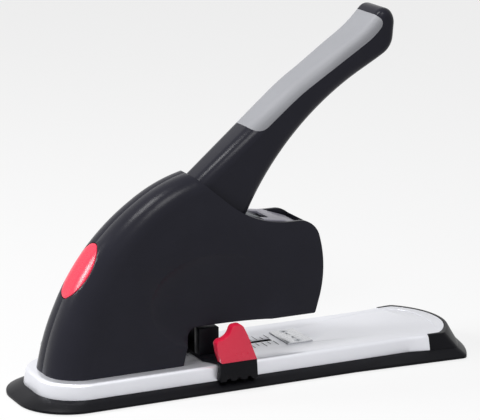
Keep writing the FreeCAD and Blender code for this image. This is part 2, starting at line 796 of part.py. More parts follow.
# Head casing: two moulded half shells that meet at y = 0
SPINE = [(size.spine_heel_x, size.spine_heel_z, size.spine_heel_radius),
         (size.spine_back_x, size.spine_back_z, size.spine_back_radius),
         (size.spine_brow_x, size.spine_brow_z, size.spine_brow_radius)]
foot_slope = (size.spine_heel_x - size.spine_foot_x) / (size.spine_heel_z - size.cover_top)
crest_slope = (size.crest_z - size.spine_brow_z) / (size.crest_x - size.spine_brow_x)
slab_foot = (size.spine_foot_x - foot_slope * size.slab_depth, size.cover_top - size.slab_depth, 0)
slab_peak = (size.slab_reach, size.spine_brow_z + crest_slope * (size.slab_reach - size.spine_brow_x), 0)


def half_width(z, inset=0):
    return size.head_half_width - inset - size.head_draft * (z - size.cover_top)


def rounded_block(inset):
    """The head before its front, throat and mouth are cut: drafted sides and a spine with soft shoulders."""
    wire = rounded_wire([slab_foot] + SPINE + [slab_peak, (size.slab_reach, slab_foot[1], 0)])
    if inset:
        wire = wire.makeOffset2D(-inset)
    wide, far = size.head_half_width + size.slab_depth, size.base_half_length + size.slab_reach
    low, high = half_width(0, inset), half_width(size.slab_top, inset)
    draft = Part.Face(Part.makePolygon([
        Vector(-far, -low, 0), Vector(-far, low, 0), Vector(-far, high, size.slab_top),
        Vector(-far, -high, size.slab_top), Vector(-far, -low, 0)]))
    raw = slab(wire, -wide, wide).common(draft.extrude(Vector(2 * far, 0, 0)))
    slope = (size.shoulder_high_radius - size.shoulder_low_radius) / (size.crest_z - size.cover_top)
    edges = []
    for i, edge in enumerate(raw.Edges, start=1):
        ends = [edge.valueAt(edge.FirstParameter), edge.valueAt(edge.LastParameter)]
        on_side = all(abs(abs(end.y) - half_width(end.z, inset)) < size.match for end in ends)
        level = abs(ends[0].z - ends[1].z) < 1e-6
        in_front = min(ends[0].x, ends[1].x) > size.slab_reach - 2 * inset - size.match
        if on_side and ends[0].y * ends[1].y > 0 and not level and not in_front:
            radii = [size.shoulder_low_radius - inset + slope * (end.z - size.cover_top) for end in ends]
            edges.append((i, radii[0], radii[1]))
    smooth = doc.addObject("Part::Fillet", "shoulders")
    smooth.Base = solid(raw)
    smooth.Edges = edges
    doc.recompute()
    return smooth.Shape


def dent(side, growth):
    """One oval of the grip hollows, leant with the side wall."""
    stand_off = size.dent_ball - size.dent_depth
    share = math.sqrt(1 - (stand_off / size.dent_ball) ** 2)
    ball = Part.makeSphere(1)
    stretch = Matrix()
    stretch.scale(size.dent_length / 2 / share + growth, size.dent_ball + growth,
                  size.dent_height / 2 / share + growth)
    ball = ball.transformGeometry(stretch)
    ball.rotate(Vector(), Vector(1, 0, 0), side * math.degrees(size.head_draft))
    ball.translate(Vector(size.dent_x, side * (half_width(size.dent_z) + stand_off), size.dent_z))
    return ball


far_width = size.head_half_width + size.slab_depth
THROAT = [(size.throat_top_x, size.throat_top, size.throat_radius), (size.throat_foot_x, size.cover_top, 0)]
FRONT = [(size.nose_belly_x, size.nose_belly_z, size.nose_belly_radius)]
profile = rounded_wire([(size.spine_foot_x, size.cover_top, 0)] + SPINE
                       + [(size.crest_x, size.crest_z, size.rim_radius),
                          (size.mouth_x, size.mouth_z, size.mouth_radius),
                          (size.nose_top_x, size.nose_top_z, size.nose_top_radius)] + FRONT
                       + [(size.nose_foot_x, size.throat_top, size.rim_radius)] + THROAT)
head_outer = rounded_block(0).common(slab(profile, -far_width, far_width))

# The hollow: open at the foot, under the nose and at the mouth
front_slope = (size.nose_top_x - size.nose_belly_x) / (size.nose_top_z - size.nose_belly_z)
low_z, sky_z = size.cover_top - size.slab_depth, size.slab_top
throat_slope = (size.throat_foot_x - size.throat_top_x) / (size.cover_top - size.throat_top)
hollow_wire = rounded_wire([
    (-size.base_half_length, low_z, 0), (-size.base_half_length, sky_z, 0),
    (size.nose_belly_x + front_slope * (sky_z - size.nose_belly_z), sky_z, 0)] + FRONT
    + [(size.nose_foot_x, size.throat_top, 0), THROAT[0],
       (size.throat_top_x + throat_slope * (low_z - size.throat_top), low_z, 0)])
hollow = rounded_block(size.head_wall).common(
    slab(hollow_wire.makeOffset2D(-size.head_wall), -far_width, far_width))
under = block(size.throat_top_x + size.throat_radius, size.nose_foot_x - size.head_wall,
              -half_width(size.throat_top, size.head_wall), half_width(size.throat_top, size.head_wall),
              size.throat_top - size.overrun, size.throat_top + 2 * size.head_wall)
foot_room = block(-size.base_half_length, size.throat_foot_x - size.head_wall, -far_width, far_width, low_z,
                  size.cover_top + size.slab_depth).common(rounded_block(size.head_wall))
hollow = hollow.fuse([under, foot_room])
for side in (-1, 1):
    hollow = hollow.cut(dent(side, size.head_wall))
    head_outer = head_outer.cut(dent(side, 0))
casing = head_outer.cut(hollow)

# Windows for the staple drawer and for the magazine as it comes down
magazine_low = size.throat_top + size.channel_gap
magazine_half = size.frame_gap - size.channel_gap
face_window_half = size.drawer_face_half_width + size.window_gap
way_down_half = magazine_half + size.window_gap
windows = [
    block(size.channel_front, size.base_half_length, -face_window_half, face_window_half,
          size.throat_top - size.overrun, size.drawer_face_top + size.window_gap),
    block(size.frame_foot_front, size.throat_top_x + size.throat_radius + size.overrun,
          -way_down_half, way_down_half, magazine_low - size.magazine_travel - size.window_gap,
          size.throat_top + 2 * size.head_wall)]

# The release button is a tile out of the casing wall, and slides in along this axis
inward = Rotation(Vector(0, 1, 0), size.button_lean).multVec(Vector(1, 0, 0))
button_guess = Vector(size.button_x, 0, size.button_z)
button_line = Part.makeLine(button_guess - inward * size.button_length, button_guess).common(head_outer)
tile_spot = min((vertex.Point for vertex in button_line.Vertexes), key=lambda spot: spot.dot(inward))
upward = Vector(-inward.z, 0, inward.x)


def along_button(radius, start, end, half_length=None, half_width_y=None):
    """A round or oval bar on the button's axis, between two depths under the tile's centre."""
    if half_length is None:
        return Part.makeCylinder(radius, end - start, tile_spot + inward * start, inward)
    oval = Part.Ellipse(tile_spot + inward * start + upward * half_length,
                        tile_spot + inward * start + Vector(0, half_width_y, 0), tile_spot + inward * start)
    return Part.Face(Part.Wire(oval.toShape())).extrude(inward * (end - start))


tile_half, tile_half_y = size.button_length / 2, size.button_width / 2
opening = along_button(0, -2 * size.button_length, size.button_length / 2,
                       tile_half + size.button_gap, tile_half_y + size.button_gap)
windows.append(opening)

# Bosses and screws that hold the two halves together
BOSSES = [(size.boss_low_x, size.boss_low_z), (size.boss_high_x, size.boss_high_z),
          (size.boss_mid_x, size.boss_mid_z)]
bosses = Part.makeCompound([disc(x, z, size.head_boss_radius, -far_width, far_width) for x, z in BOSSES])
casing = casing.cut(Part.makeCompound(windows)).fuse(bosses.common(head_outer))
screws = []
for x, z in BOSSES:
    skin_y = Part.makeLine(Vector(x, 0, z), Vector(x, far_width, z)).common(head_outer).BoundBox.YMax
    seat = skin_y - size.head_screw_head - size.head_draft * size.head_screw_head_radius
    screws.append(disc(x, z, size.head_screw_head_radius, seat, seat + size.head_screw_head)
                  .fuse(disc(x, z, size.head_screw_radius, -size.head_boss_radius, seat)).removeSplitter())
    casing = casing.cut(disc(x, z, size.head_screw_head_radius, seat, far_width)
                        .fuse(disc(x, z, size.head_screw_radius, -size.head_boss_radius, seat)))
node(solid(casing.common(block(-reach, reach, -reach, 0, 0, sky_z)).removeSplitter()), "head_shell_near")
node(solid(casing.common(block(-reach, reach, 0, reach, 0, sky_z)).removeSplitter()), "head_shell_far")
node(solid(Part.makeCompound(screws)), "head_screws")

# Steel frame: two plates with flanges on the bed
pivot = Vector(size.pivot_x, 0, size.pivot_z)
frame_corners = [
    ("frame_neck_x", "pivot_z"), ("frame_neck_x", "frame_top"), ("frame_front", "frame_top"),
    ("frame_front", "frame_floor"), ("frame_foot_front", "frame_floor"),
    ("frame_foot_front", "skirt_top + bed_thickness"), ("frame_foot_rear", "skirt_top + bed_thickness"),
    ("frame_heel_x", "frame_heel_z"), ("frame_back_x", "frame_back_z"),
    ("frame_shoulder_x", "frame_shoulder_z"), ("frame_ear_corner_x", "frame_ear_corner_z")]


def pin(x, z, radius, half):
    """A round bar across the machine, the same on both sides of y = 0."""
    return rod("y", x, "-(%s)" % half, z, radius, "2 * (%s)" % half)


def pin_slot(x, z, radius, travel, clearance):
    """The hole through both plates for a pin that goes straight down by its travel."""
    half = "frame_gap + frame_thickness + overrun"
    low = "%s - %s" % (z, travel)
    return fuse(pin(x, z, radius + " + " + clearance, half), pin(x, low, radius + " + " + clearance, half),
                box("%s - %s - %s" % (x, radius, clearance), "-(%s)" % half, low,
                    "2 * (%s + %s)" % (radius, clearance), "2 * (%s)" % half, travel))


frame_reach = "frame_gap + frame_thickness + overrun"
SPACERS = [("spacer_low_x", "spacer_low_z"), ("spacer_mid_x", "spacer_mid_z"),
           ("spacer_front_x", "spacer_front_z")]
frame_holes = group(
    pin("pivot_x", "pivot_z", "axle_radius", frame_reach),
    pin("return_anchor_x", "return_anchor_z", "return_pin_radius", frame_reach),
    pin("stud_rear_x", "lift_pin_z", "return_pin_radius", frame_reach),
    pin("boss_mid_x", "boss_mid_z", "head_boss_radius + frame_thickness", frame_reach),
    pin_slot("ram_pin_rear_x", "ram_pin_z", "ram_pin_radius", "ram_travel", "running_gap"),
    pin_slot("ram_pin_front_x", "ram_pin_z", "ram_pin_radius", "ram_travel", "running_gap"),
    pin_slot("stud_rear_x", "stud_z", "stud_radius", "magazine_travel", "running_gap"),
    pin_slot("stud_front_x", "stud_z", "stud_radius", "magazine_travel", "running_gap"),
    *[pin(x, z, "rivet_radius", frame_reach) for x, z in SPACERS])

# The latch turns on a pin beside the button's stem; its foot stands over the tail of the drawer
stem_tip = tile_spot + inward * (size.button_thickness + size.stem_length)
pad_spot = stem_tip + inward * (size.latch_gap + size.latch_arm_radius)
latch_pin = pad_spot + upward * size.latch_arm
hook_spot = Vector(size.latch_hook_x, 0, size.latch_hook_z)
latch_pin_hole = solid(disc(latch_pin.x, latch_pin.z, size.latch_pin_radius, -far_width, far_width))


def frame_plate(name, start, flange_start):
    plate = fuse(prism("xz", frame_corners, start, "frame_thickness"),
                 rod("y", "pivot_x", start, "pivot_z", "frame_ear_radius", "frame_thickness"),
                 box("frame_foot_rear", flange_start, "skirt_top + bed_thickness",
                     "frame_foot_front - frame_foot_rear", "flange_width + frame_thickness",
                     "frame_thickness"))
    return node(cut(plate, frame_holes, frame_bolt_holes, latch_pin_hole), name)


frame_plate("frame_plate_near", "-frame_gap - frame_thickness", "-frame_gap - frame_thickness - flange_width")
frame_plate("frame_plate_far", "frame_gap", "frame_gap")
node(group(*[fuse(rod("z", x, y, "skirt_top", "flange_screw_radius", "bed_thickness + frame_thickness"),
                  rod("z", x, y, "skirt_top + bed_thickness + frame_thickness", "flange_screw_head_radius",
                      "flange_screw_head")) for x, y in FRAME_BOLTS]), "frame_screws")


def rivet(x, z, radius):
    """A distance bar between the plates, with thinner ends through them and a head on each."""
    ends = [rod("y", x, y, z, "spacer_radius", "rivet_head")
            for y in ("frame_gap + frame_thickness", "-frame_gap - frame_thickness - rivet_head")]
    return fuse(pin(x, z, radius, "frame_gap"), pin(x, z, "rivet_radius", "frame_gap + frame_thickness"),
                *ends)


node(group(*[rivet(x, z, "spacer_radius") for x, z in SPACERS]), "frame_spacers")
node(pin("pivot_x", "pivot_z", "axle_radius", "frame_gap + frame_thickness"), "handle_axle")
node(group(pin("return_anchor_x", "return_anchor_z", "return_pin_radius", "frame_gap + frame_thickness"),
           pin("stud_rear_x", "lift_pin_z", "return_pin_radius", "frame_gap + frame_thickness")),
     "spring_pins")
node(solid(disc(latch_pin.x, latch_pin.z, size.latch_pin_radius, -size.frame_gap - size.frame_thickness,
                size.frame_gap + size.frame_thickness)), "latch_pin")
bracket = block(-size.bracket_width / 2, size.bracket_width / 2, -size.frame_gap, size.frame_gap, 0,
                size.bracket_thickness)
bracket = bracket.cut(Part.makeCylinder(size.stem_radius + size.running_gap, size.overrun))
bracket.Placement = Placement(tile_spot + inward * size.bracket_depth,
                              Rotation(upward, Vector(0, 1, 0), inward, "ZXY"))
node(solid(bracket), "button_bracket")

# Saddle: a bent strip between the walls, in front of the handle, notched for the two lever plates
saddle_line = [Vector(size.saddle_rear, 0, size.saddle_rear_z),
               Vector(size.saddle_mid_x, 0, size.saddle_mid_z),
               Vector(size.saddle_front, 0, size.saddle_front_z)]
saddle_wire = Part.makePolygon(saddle_line + [spot - Vector(0, 0, size.saddle_thickness)
                                              for spot in reversed(saddle_line)] + saddle_line[:1])
saddle_half = half_width(size.saddle_rear_z, size.head_wall) - size.saddle_side_gap
lever_room = size.lever_inner + size.lever_thickness + size.lever_gap
saddle_notch = block(0, size.saddle_notch_x, -lever_room, lever_room, 0, reach)
node(solid(slab(saddle_wire, -saddle_half, saddle_half).cut(saddle_notch)), "saddle_cover")

# Handle: a hub on the axle and a long moulded arm, hollow, in an upper and a lower shell
arm_top = [(size.handle_top_x, size.handle_top_z, size.handle_top_radius),
           (size.handle_grip_x, size.handle_grip_z, size.handle_grip_radius)]
tip = [(size.tip_top_x, size.tip_top_z, size.tip_top_radius),
       (size.tip_end_x, size.tip_end_z, size.tip_end_radius),
       (size.tip_low_x, size.tip_low_z, size.tip_low_radius)]
arm_low = [(size.handle_low_x, size.handle_low_z, size.handle_low_radius)]
hub_top = tangent_spot(pivot, size.hub_radius, Vector(size.handle_top_x, 0, size.handle_top_z), 1)
hub_low = tangent_spot(pivot, size.hub_radius, Vector(size.handle_low_x, 0, size.handle_low_z), -1)
hub_back = pivot + (pivot - (hub_top + hub_low) / 2).normalize() * size.hub_radius
arm_along = Vector(size.handle_top_x - hub_top.x, 0, size.handle_top_z - hub_top.z).normalize()
arm_across = Vector(-arm_along.z, 0, arm_along.x)
arm_reach = (Vector(size.tip_top_x, 0, size.tip_top_z) - pivot).Length + size.hub_radius
arm_wire = rounded_wire([(hub_top.x, hub_top.z, 0)] + arm_top + tip + arm_low
                        + [(hub_low.x, hub_low.z, 0)], False)
arm_wire = Part.Wire(arm_wire.Edges + [Part.Arc(hub_low, hub_back, hub_top).toShape()])


def handle_block(inset):
    """The handle drawn in by an inset, with soft edges that fade out towards the tip."""
    wire = arm_wire.makeOffset2D(-inset) if inset else arm_wire
    rear, front = -size.hub_radius - size.overrun, arm_reach + size.overrun
    wide = size.handle_half_width - inset
    corners = [pivot + arm_along * run + Vector(0, side * (wide + size.handle_spread * run), 0)
               for run, side in ((rear, -1), (front, -1), (front, 1), (rear, 1))]
    lift = arm_across * arm_reach
    wedge = Part.Face(Part.makePolygon([spot - lift for spot in corners + corners[:1]])).extrude(lift * 2)
    raw = slab(wire, -size.base_half_length, size.base_half_length).common(wedge)
    edges = []
    for i, edge in enumerate(raw.Edges, start=1):
        ends = [edge.valueAt(edge.FirstParameter), edge.valueAt(edge.LastParameter)]
        runs = [(end - pivot).dot(arm_along) for end in ends]
        on_side = all(abs(abs(end.y) - wide - size.handle_spread * run) < size.match
                      for end, run in zip(ends, runs))
        if on_side and ends[0].y * ends[1].y > 0:
            radii = [size.handle_edge_radius - inset if run < size.edge_fade_start
                     else size.tip_edge_radius - min(inset, size.tip_edge_radius / 2) for run in runs]
            edges.append((i, radii[0], radii[1]))
    smooth = doc.addObject("Part::Fillet", "soft_edges")
    smooth.Base = solid(raw)
    smooth.Edges = edges
    doc.recompute()
    return smooth.Shape


handle_outer = handle_block(0)
cavity_end = arm_along * (size.grip_end + size.hub_radius / 2)
cavity_face = Part.Face(Part.makePolygon([
    pivot + cavity_end * sign + arm_across * arm_reach * turn
    for sign, turn in ((-1, -1), (1, -1), (1, 1), (-1, 1), (-1, -1))]))
wide = size.handle_half_width * 2
cavity_face.translate(Vector(0, -wide, 0))
cavity = handle_block(size.handle_wall).common(cavity_face.extrude(Vector(0, 2 * wide, 0)))

# Between its cheeks the hub is open towards the frame
frame_room = size.frame_gap + size.frame_thickness + size.frame_clearance
gap_start = math.radians(size.skirt_angle)
gap_end = math.atan2(hub_low.z - pivot.z, hub_low.x - pivot.x) + math.tau
gap_spots = [pivot + Vector(math.cos(turn), 0, math.sin(turn)) * 2 * size.hub_radius
             for turn in (gap_start, (gap_start * 2 + gap_end) / 3, (gap_start + gap_end * 2) / 3, gap_end)]
hub_gap = slab(Part.makePolygon([pivot] + gap_spots + [pivot]), -frame_room, frame_room)
handle_skin = handle_outer.cut(cavity).cut(hub_gap)

# The lower shell is a strip along the underside, and the grip an inlay along the top
low_spots = [hub_low, Vector(size.handle_low_x, 0, size.handle_low_z),
             Vector(size.tip_low_x, 0, size.tip_low_z)]


def beside(start, end, distance):
    """A shift at right angles to a line, to the left of its way."""
    along = (end - start).normalize()
    return Vector(-along.z, 0, along.x) * distance


seam_middle = (size.seam_mouth + size.seam_tip) / 2
seam = [low_spots[0] + beside(low_spots[0], low_spots[1], size.seam_mouth),
        low_spots[1] + beside(hub_low, low_spots[2], seam_middle),
        low_spots[2] + beside(low_spots[1], low_spots[2], size.seam_tip)]
past_tip = seam[2] + (seam[2] - seam[1]).normalize() * size.hub_radius
deep = beside(low_spots[0], low_spots[2], -size.hub_radius)
under_wire = rounded_wire([(seam[0].x, seam[0].z, 0), (seam[1].x, seam[1].z, size.handle_low_radius),
                           (past_tip.x, past_tip.z, 0), (past_tip.x + deep.x, past_tip.z + deep.z, 0),
                           (low_spots[1].x + deep.x, low_spots[1].z + deep.z, 0),
                           (low_spots[0].x + deep.x, low_spots[0].z + deep.z, 0), (hub_low.x, hub_low.z, 0)])
under_room = slab(under_wire, -wide, wide)
top_spots = [hub_top, Vector(size.handle_top_x, 0, size.handle_top_z),
             Vector(size.handle_grip_x, 0, size.handle_grip_z), Vector(size.tip_top_x, 0, size.tip_top_z)]
grip_rear = hub_top + arm_along * size.grip_start
last_along = (top_spots[3] - top_spots[2]).normalize()
grip_tail = (size.grip_end - size.grip_start - (top_spots[1] - grip_rear).Length
             - (top_spots[2] - top_spots[1]).Length)
grip_front = top_spots[2] + last_along * grip_tail
drops = [beside(top_spots[start], top_spots[end], -size.grip_drop)
         for start, end in ((0, 1), (0, 2), (1, 3), (2, 3))]
lifts = [drop * (-size.overrun / size.grip_drop) for drop in drops]
line = [grip_rear, top_spots[1], top_spots[2], grip_front]
radii = [size.grip_corner, size.handle_top_radius, size.handle_grip_radius / 2, size.grip_corner / 2]
below = [(spot.x + drop.x, spot.z + drop.z, radius) for spot, drop, radius in zip(line, drops, radii)]
above = [(spot.x + lift.x, spot.z + lift.z, 0) for spot, lift in zip(line, lifts)]
grip_room = slab(rounded_wire(below + above[::-1]), -wide, wide)
grip = grip_room.common(handle_outer).cut(handle_block(size.grip_thickness))
node(solid(grip), "handle_grip")

# Screws from below hold the lower shell to bosses of the upper one, and the lever leaves it by a slot
nose_turn = math.radians(size.nose_angle)
nose = pivot + Vector(math.cos(nose_turn), 0, math.sin(nose_turn)) * size.nose_reach
slot_radius = size.lever_arm_radius + size.lever_gap
handle_screws, upper, lower = [], handle_skin.cut(under_room).cut(grip), handle_skin.common(under_room)
for i in range(3):
    run = size.handle_screw_first + i * size.handle_screw_pitch
    foot = pivot + arm_along * run - arm_across * arm_reach
    beam = Part.makeLine(foot, foot + arm_across * 2 * arm_reach)
    skin = beam.common(handle_outer).BoundBox
    spot = Vector(skin.XMax, 0, skin.ZMin)
    start = spot - arm_across * (size.handle_screw_head / 2)
    boss = Part.makeCylinder(size.handle_boss_radius, 2 * arm_reach, spot, arm_across).common(cavity)
    shank = Part.makeCylinder(size.handle_screw_radius, size.handle_screw_length, start, arm_across)
    head = Part.makeCylinder(size.handle_screw_head_radius, size.handle_screw_head, start, arm_across)
    screw = shank.fuse(head).removeSplitter()
    handle_screws.append(screw)
    upper, lower = upper.fuse(boss).cut(screw), lower.cut(screw)
lower = lower.cut(strap(pivot, slot_radius, nose, slot_radius, -lever_room, lever_room))
node(solid(upper.removeSplitter()), "handle_upper_shell")
node(solid(lower.removeSplitter()), "handle_lower_shell")
node(solid(Part.makeCompound(handle_screws)), "handle_screws")

# Steel lever inside the handle: two plates that carry the roller and the tail pin
tail_turn = math.radians(size.tail_angle)
tail = pivot + Vector(math.cos(tail_turn), 0, math.sin(tail_turn)) * size.tail_reach
lever_end = Vector(size.lever_end_x, 0, size.lever_end_z)
lever_along = (lever_end - pivot).normalize()
spacer_spots = [pivot + lever_along * run for run in (size.lever_spacer_first, size.lever_spacer_second)]
plate_in, plate_out = size.lever_inner, size.lever_inner + size.lever_thickness
lever_plate = disc(pivot.x, pivot.z, size.lever_hub_radius, plate_in, plate_out).fuse([
    strap(pivot, size.lever_arm_radius, nose, size.lever_arm_radius, plate_in, plate_out),
    strap(pivot, size.lever_arm_radius, lever_end, size.lever_arm_radius, plate_in, plate_out),
    strap(pivot, size.lever_hub_radius, tail, size.tail_radius, plate_in, plate_out),
    disc(nose.x, nose.z, size.lever_end_radius, plate_in, plate_out)])
lever_plate = lever_plate.cut(Part.makeCompound(
    [disc(pivot.x, pivot.z, size.axle_radius + size.axle_clearance, 0, plate_out),
     disc(nose.x, nose.z, size.roller_bore, 0, plate_out),
     disc(tail.x, tail.z, size.return_pin_radius, 0, plate_out)]
    + [disc(spot.x, spot.z, size.lever_core_radius, 0, plate_out) for spot in spacer_spots])).removeSplitter()
node(solid(lever_plate), "lever_plate_far")
node(solid(lever_plate.mirror(Vector(), Vector(0, 1, 0))), "lever_plate_near")
node(solid(disc(nose.x, nose.z, size.roller_radius, -plate_in, plate_in).cut(
    disc(nose.x, nose.z, size.roller_bore + size.pin_clearance, -plate_in, plate_in))), "lever_roller")
node(solid(Part.makeCompound([disc(nose.x, nose.z, size.roller_bore, -plate_out, plate_out),
                              disc(tail.x, tail.z, size.return_pin_radius, -plate_out, plate_out)])),
     "lever_pins")
hub_sleeve = disc(pivot.x, pivot.z, size.hub_sleeve_radius, -plate_in, plate_in).cut(
    disc(pivot.x, pivot.z, size.axle_radius + size.axle_clearance, -plate_in, plate_in))
cross_bars = [hub_sleeve]
for run, spot in zip((size.lever_spacer_first, size.lever_spacer_second), spacer_spots):
    wall_y = size.handle_half_width - size.handle_wall + size.handle_spread * run - size.lever_spacer_gap
    cross_bars.append(disc(spot.x, spot.z, size.lever_spacer_radius, -wall_y, wall_y).cut(Part.makeCompound([
        disc(spot.x, spot.z, size.lever_spacer_radius, *ends).cut(
            disc(spot.x, spot.z, size.lever_core_radius, *ends))
        for ends in ((plate_in, plate_out), (-plate_out, -plate_in))])))
node(solid(Part.makeCompound(cross_bars)), "lever_spacers")
anchor = Vector(size.return_anchor_x, 0, size.return_anchor_z)
spring_way = (anchor - tail).normalize() * (size.return_pin_radius + size.spring_gap)
node(solid(coil(tail + spring_way, anchor - spring_way, size.return_coil_radius, size.return_wire,
                size.return_turns)), "return_spring")

# Driver: a ram on two pins, whose curved top follows the roller, and the blade on its front
driver_half = size.frame_gap - size.ram_clearance


def in_ram(press):
    """The roller's centre as the ram sees it, at a share of the full press."""
    turned = Rotation(Vector(0, 1, 0), size.handle_press * press).multVec(nose - pivot)
    return pivot + turned + Vector(0, 0, size.ram_travel * press)


cam = Part.Arc(in_ram(0), in_ram(1 / 2), in_ram(1)).toShape().Curve
cam_centre = Vector(cam.Center)
cam_radius = cam.Radius + size.roller_radius + size.roller_clearance
ram_front = size.anvil_x - size.blade_thickness / 2
rib = block(size.ram_rear, ram_front, -size.ram_rib_half_width, size.ram_rib_half_width,
            size.ram_bottom, size.ram_top)
rib = rib.cut(disc(cam_centre.x, cam_centre.z, cam_radius, -far_width, far_width))
ram = rib.fuse(block(size.ram_rear, ram_front, -driver_half, driver_half, size.ram_bottom, size.ram_shelf))
ram_pins = [disc(x, size.ram_pin_z, size.ram_pin_radius, -size.ram_pin_reach, size.ram_pin_reach)
            for x in (size.ram_pin_rear_x, size.ram_pin_front_x)]
blade_front = size.anvil_x + size.blade_thickness / 2
blade_half = size.blade_width / 2
blade_screws = []
for side in (-1, 1):
    spot = Vector(blade_front + size.clamp_plate, side * blade_half / 2,
                  (size.ram_bottom + size.blade_top) / 2)
    back = Vector(-1, 0, 0)
    blade_screws.append(Part.makeCylinder(size.blade_screw_head_radius, size.blade_screw_head,
                                          spot - back * size.blade_screw_head, back).fuse(
        Part.makeCylinder(size.blade_screw_radius, size.clamp_plate + size.blade_thickness + size.overrun,
                          spot, back)).removeSplitter())
ram = ram.cut(Part.makeCompound(ram_pins)).cut(Part.makeCompound(blade_screws)).removeSplitter()
node(solid(ram), "driver_ram")
node(solid(Part.makeCompound(ram_pins)), "driver_pins")
blade = block(ram_front, blade_front, -blade_half, blade_half, size.blade_bottom, size.blade_top)
node(solid(blade.cut(Part.makeCompound(blade_screws))), "driver_blade")
backing = block(blade_front, blade_front + size.clamp_plate, -blade_half, blade_half, size.ram_bottom,
                size.blade_top)
node(solid(backing.cut(Part.makeCompound(blade_screws))), "blade_clamp_plate")
node(solid(Part.makeCompound(blade_screws)), "blade_screws")

# Magazine: a channel that hangs on two cross pins and comes down on the paper
channel_outer = "frame_gap - channel_gap"
floor_z = "throat_top + channel_gap"
trough = prism("yz", [("-(%s)" % channel_outer, floor_z), (channel_outer, floor_z),
                      (channel_outer, "channel_top"), ("%s - channel_wall" % channel_outer, "channel_top"),
                      ("%s - channel_wall" % channel_outer, floor_z + " + channel_floor"),
                      ("channel_wall - (%s)" % channel_outer, floor_z + " + channel_floor"),
                      ("channel_wall - (%s)" % channel_outer, "channel_top"),
                      ("-(%s)" % channel_outer, "channel_top")],
               "channel_rear", "channel_front - channel_rear")
lugs = [box(x + " - lug_half", y, "channel_top - lug_half", "2 * lug_half", "channel_wall",
            "lug_top - channel_top + lug_half")
        for x in ("stud_rear_x", "stud_front_x")
        for y in ("-(%s)" % channel_outer, channel_outer + " - channel_wall")]
shoe = box("shoe_rear", "-drawer_face_half_width", floor_z, "shoe_front - shoe_rear",
           "2 * drawer_face_half_width", "shoe_thickness")
exit_hole = box("anvil_x - exit_length / 2", "-exit_half_width", floor_z + " - overrun", "exit_length",
                "2 * exit_half_width", "2 * overrun")
cross_pins = [pin(x, "stud_z", "stud_radius", "stud_reach") for x in ("stud_rear_x", "stud_front_x")]
node(cut(fuse(trough, shoe, *lugs), exit_hole, *cross_pins), "magazine_channel")
node(group(*cross_pins), "magazine_pins")
springs = []
for side in (-1, 1):
    foot = Vector(size.stud_rear_x, side * size.lift_spring_y,
                  size.stud_z + size.stud_radius + size.spring_gap)
    top = Vector(size.stud_rear_x, side * size.lift_spring_y,
                 size.lift_pin_z - size.return_pin_radius - size.spring_gap)
    springs.append(coil(foot, top, size.lift_spring_radius, size.lift_spring_wire, size.lift_spring_turns))
node(solid(Part.makeCompound(springs)), "magazine_springs")

# Staple drawer that slides out of the magazine at the front
drawer_half = size.frame_gap - size.channel_gap - size.channel_wall - size.drawer_gap
drawer_low = size.throat_top + size.channel_gap + size.channel_floor + size.drawer_lift
inner_half, inner_low = drawer_half - size.drawer_wall, drawer_low + size.drawer_floor
drawer = block(size.drawer_rear, size.drawer_front, -drawer_half, drawer_half, drawer_low, size.drawer_top)
drawer = drawer.cut(Part.makeCompound([
    block(size.drawer_rear + size.drawer_wall, size.drawer_front - size.drawer_wall, -inner_half, inner_half,
          inner_low, size.drawer_top),
    block(size.anvil_x - size.exit_length / 2, size.anvil_x + size.exit_length / 2, -size.exit_half_width,
          size.exit_half_width, drawer_low, inner_low)]))
tail_high = drawer_low + size.drawer_tail_height
drawer = drawer.cut(block(size.drawer_rear, size.drawer_rear + size.drawer_wall, -drawer_half, drawer_half,
                          tail_high, size.drawer_top))
rod_start = Vector(size.drawer_rear, 0, size.rod_z)
along_x = Vector(1, 0, 0)
pusher_rod = Part.makeCylinder(size.rod_radius, size.pusher_front - size.rod_end - size.drawer_rear,
                               rod_start, along_x)
node(solid(drawer.cut(pusher_rod).removeSplitter()), "staple_drawer")
node(solid(pusher_rod), "pusher_rod")
face = block(size.drawer_front, size.drawer_front + size.drawer_face_reach, -size.drawer_face_half_width,
             size.drawer_face_half_width, drawer_low, size.drawer_face_top)
node(solid(face), "drawer_face")
pusher_rear = size.pusher_front - size.pusher_length
pusher = block(pusher_rear, size.pusher_front, size.pusher_gap - inner_half, inner_half - size.pusher_gap,
               inner_low + size.pusher_gap, size.pusher_top)
node(solid(pusher.cut(Part.makeCylinder(size.rod_radius + size.rod_clearance, size.pusher_length,
                                        Vector(pusher_rear, 0, size.rod_z), along_x))), "staple_pusher")
node(solid(coil(Vector(size.drawer_rear + size.drawer_wall, 0, size.rod_z),
                Vector(pusher_rear, 0, size.rod_z), size.pusher_spring_radius,
                size.pusher_spring_wire, size.pusher_spring_turns)), "pusher_spring")

# Release button: the tile, its stem and a collar behind the bracket
tile = head_outer.cut(rounded_block(size.button_thickness)).common(
    along_button(0, -2 * size.button_length, size.button_length / 2, tile_half, tile_half_y))
stem = along_button(size.stem_radius, size.button_thickness / 2, size.button_thickness + size.stem_length)
collar_depth = size.bracket_depth + size.bracket_thickness + size.stem_collar_gap
collar = along_button(size.stem_collar_radius, collar_depth, collar_depth + size.stem_collar)
node(solid(tile.fuse([stem, collar]).removeSplitter()), "release_button")
node(solid(coil(tile_spot + inward * size.bracket_depth, tile_spot + inward * size.button_thickness,
                size.button_spring_radius, size.button_spring_wire, size.button_spring_turns)),
     "button_spring")

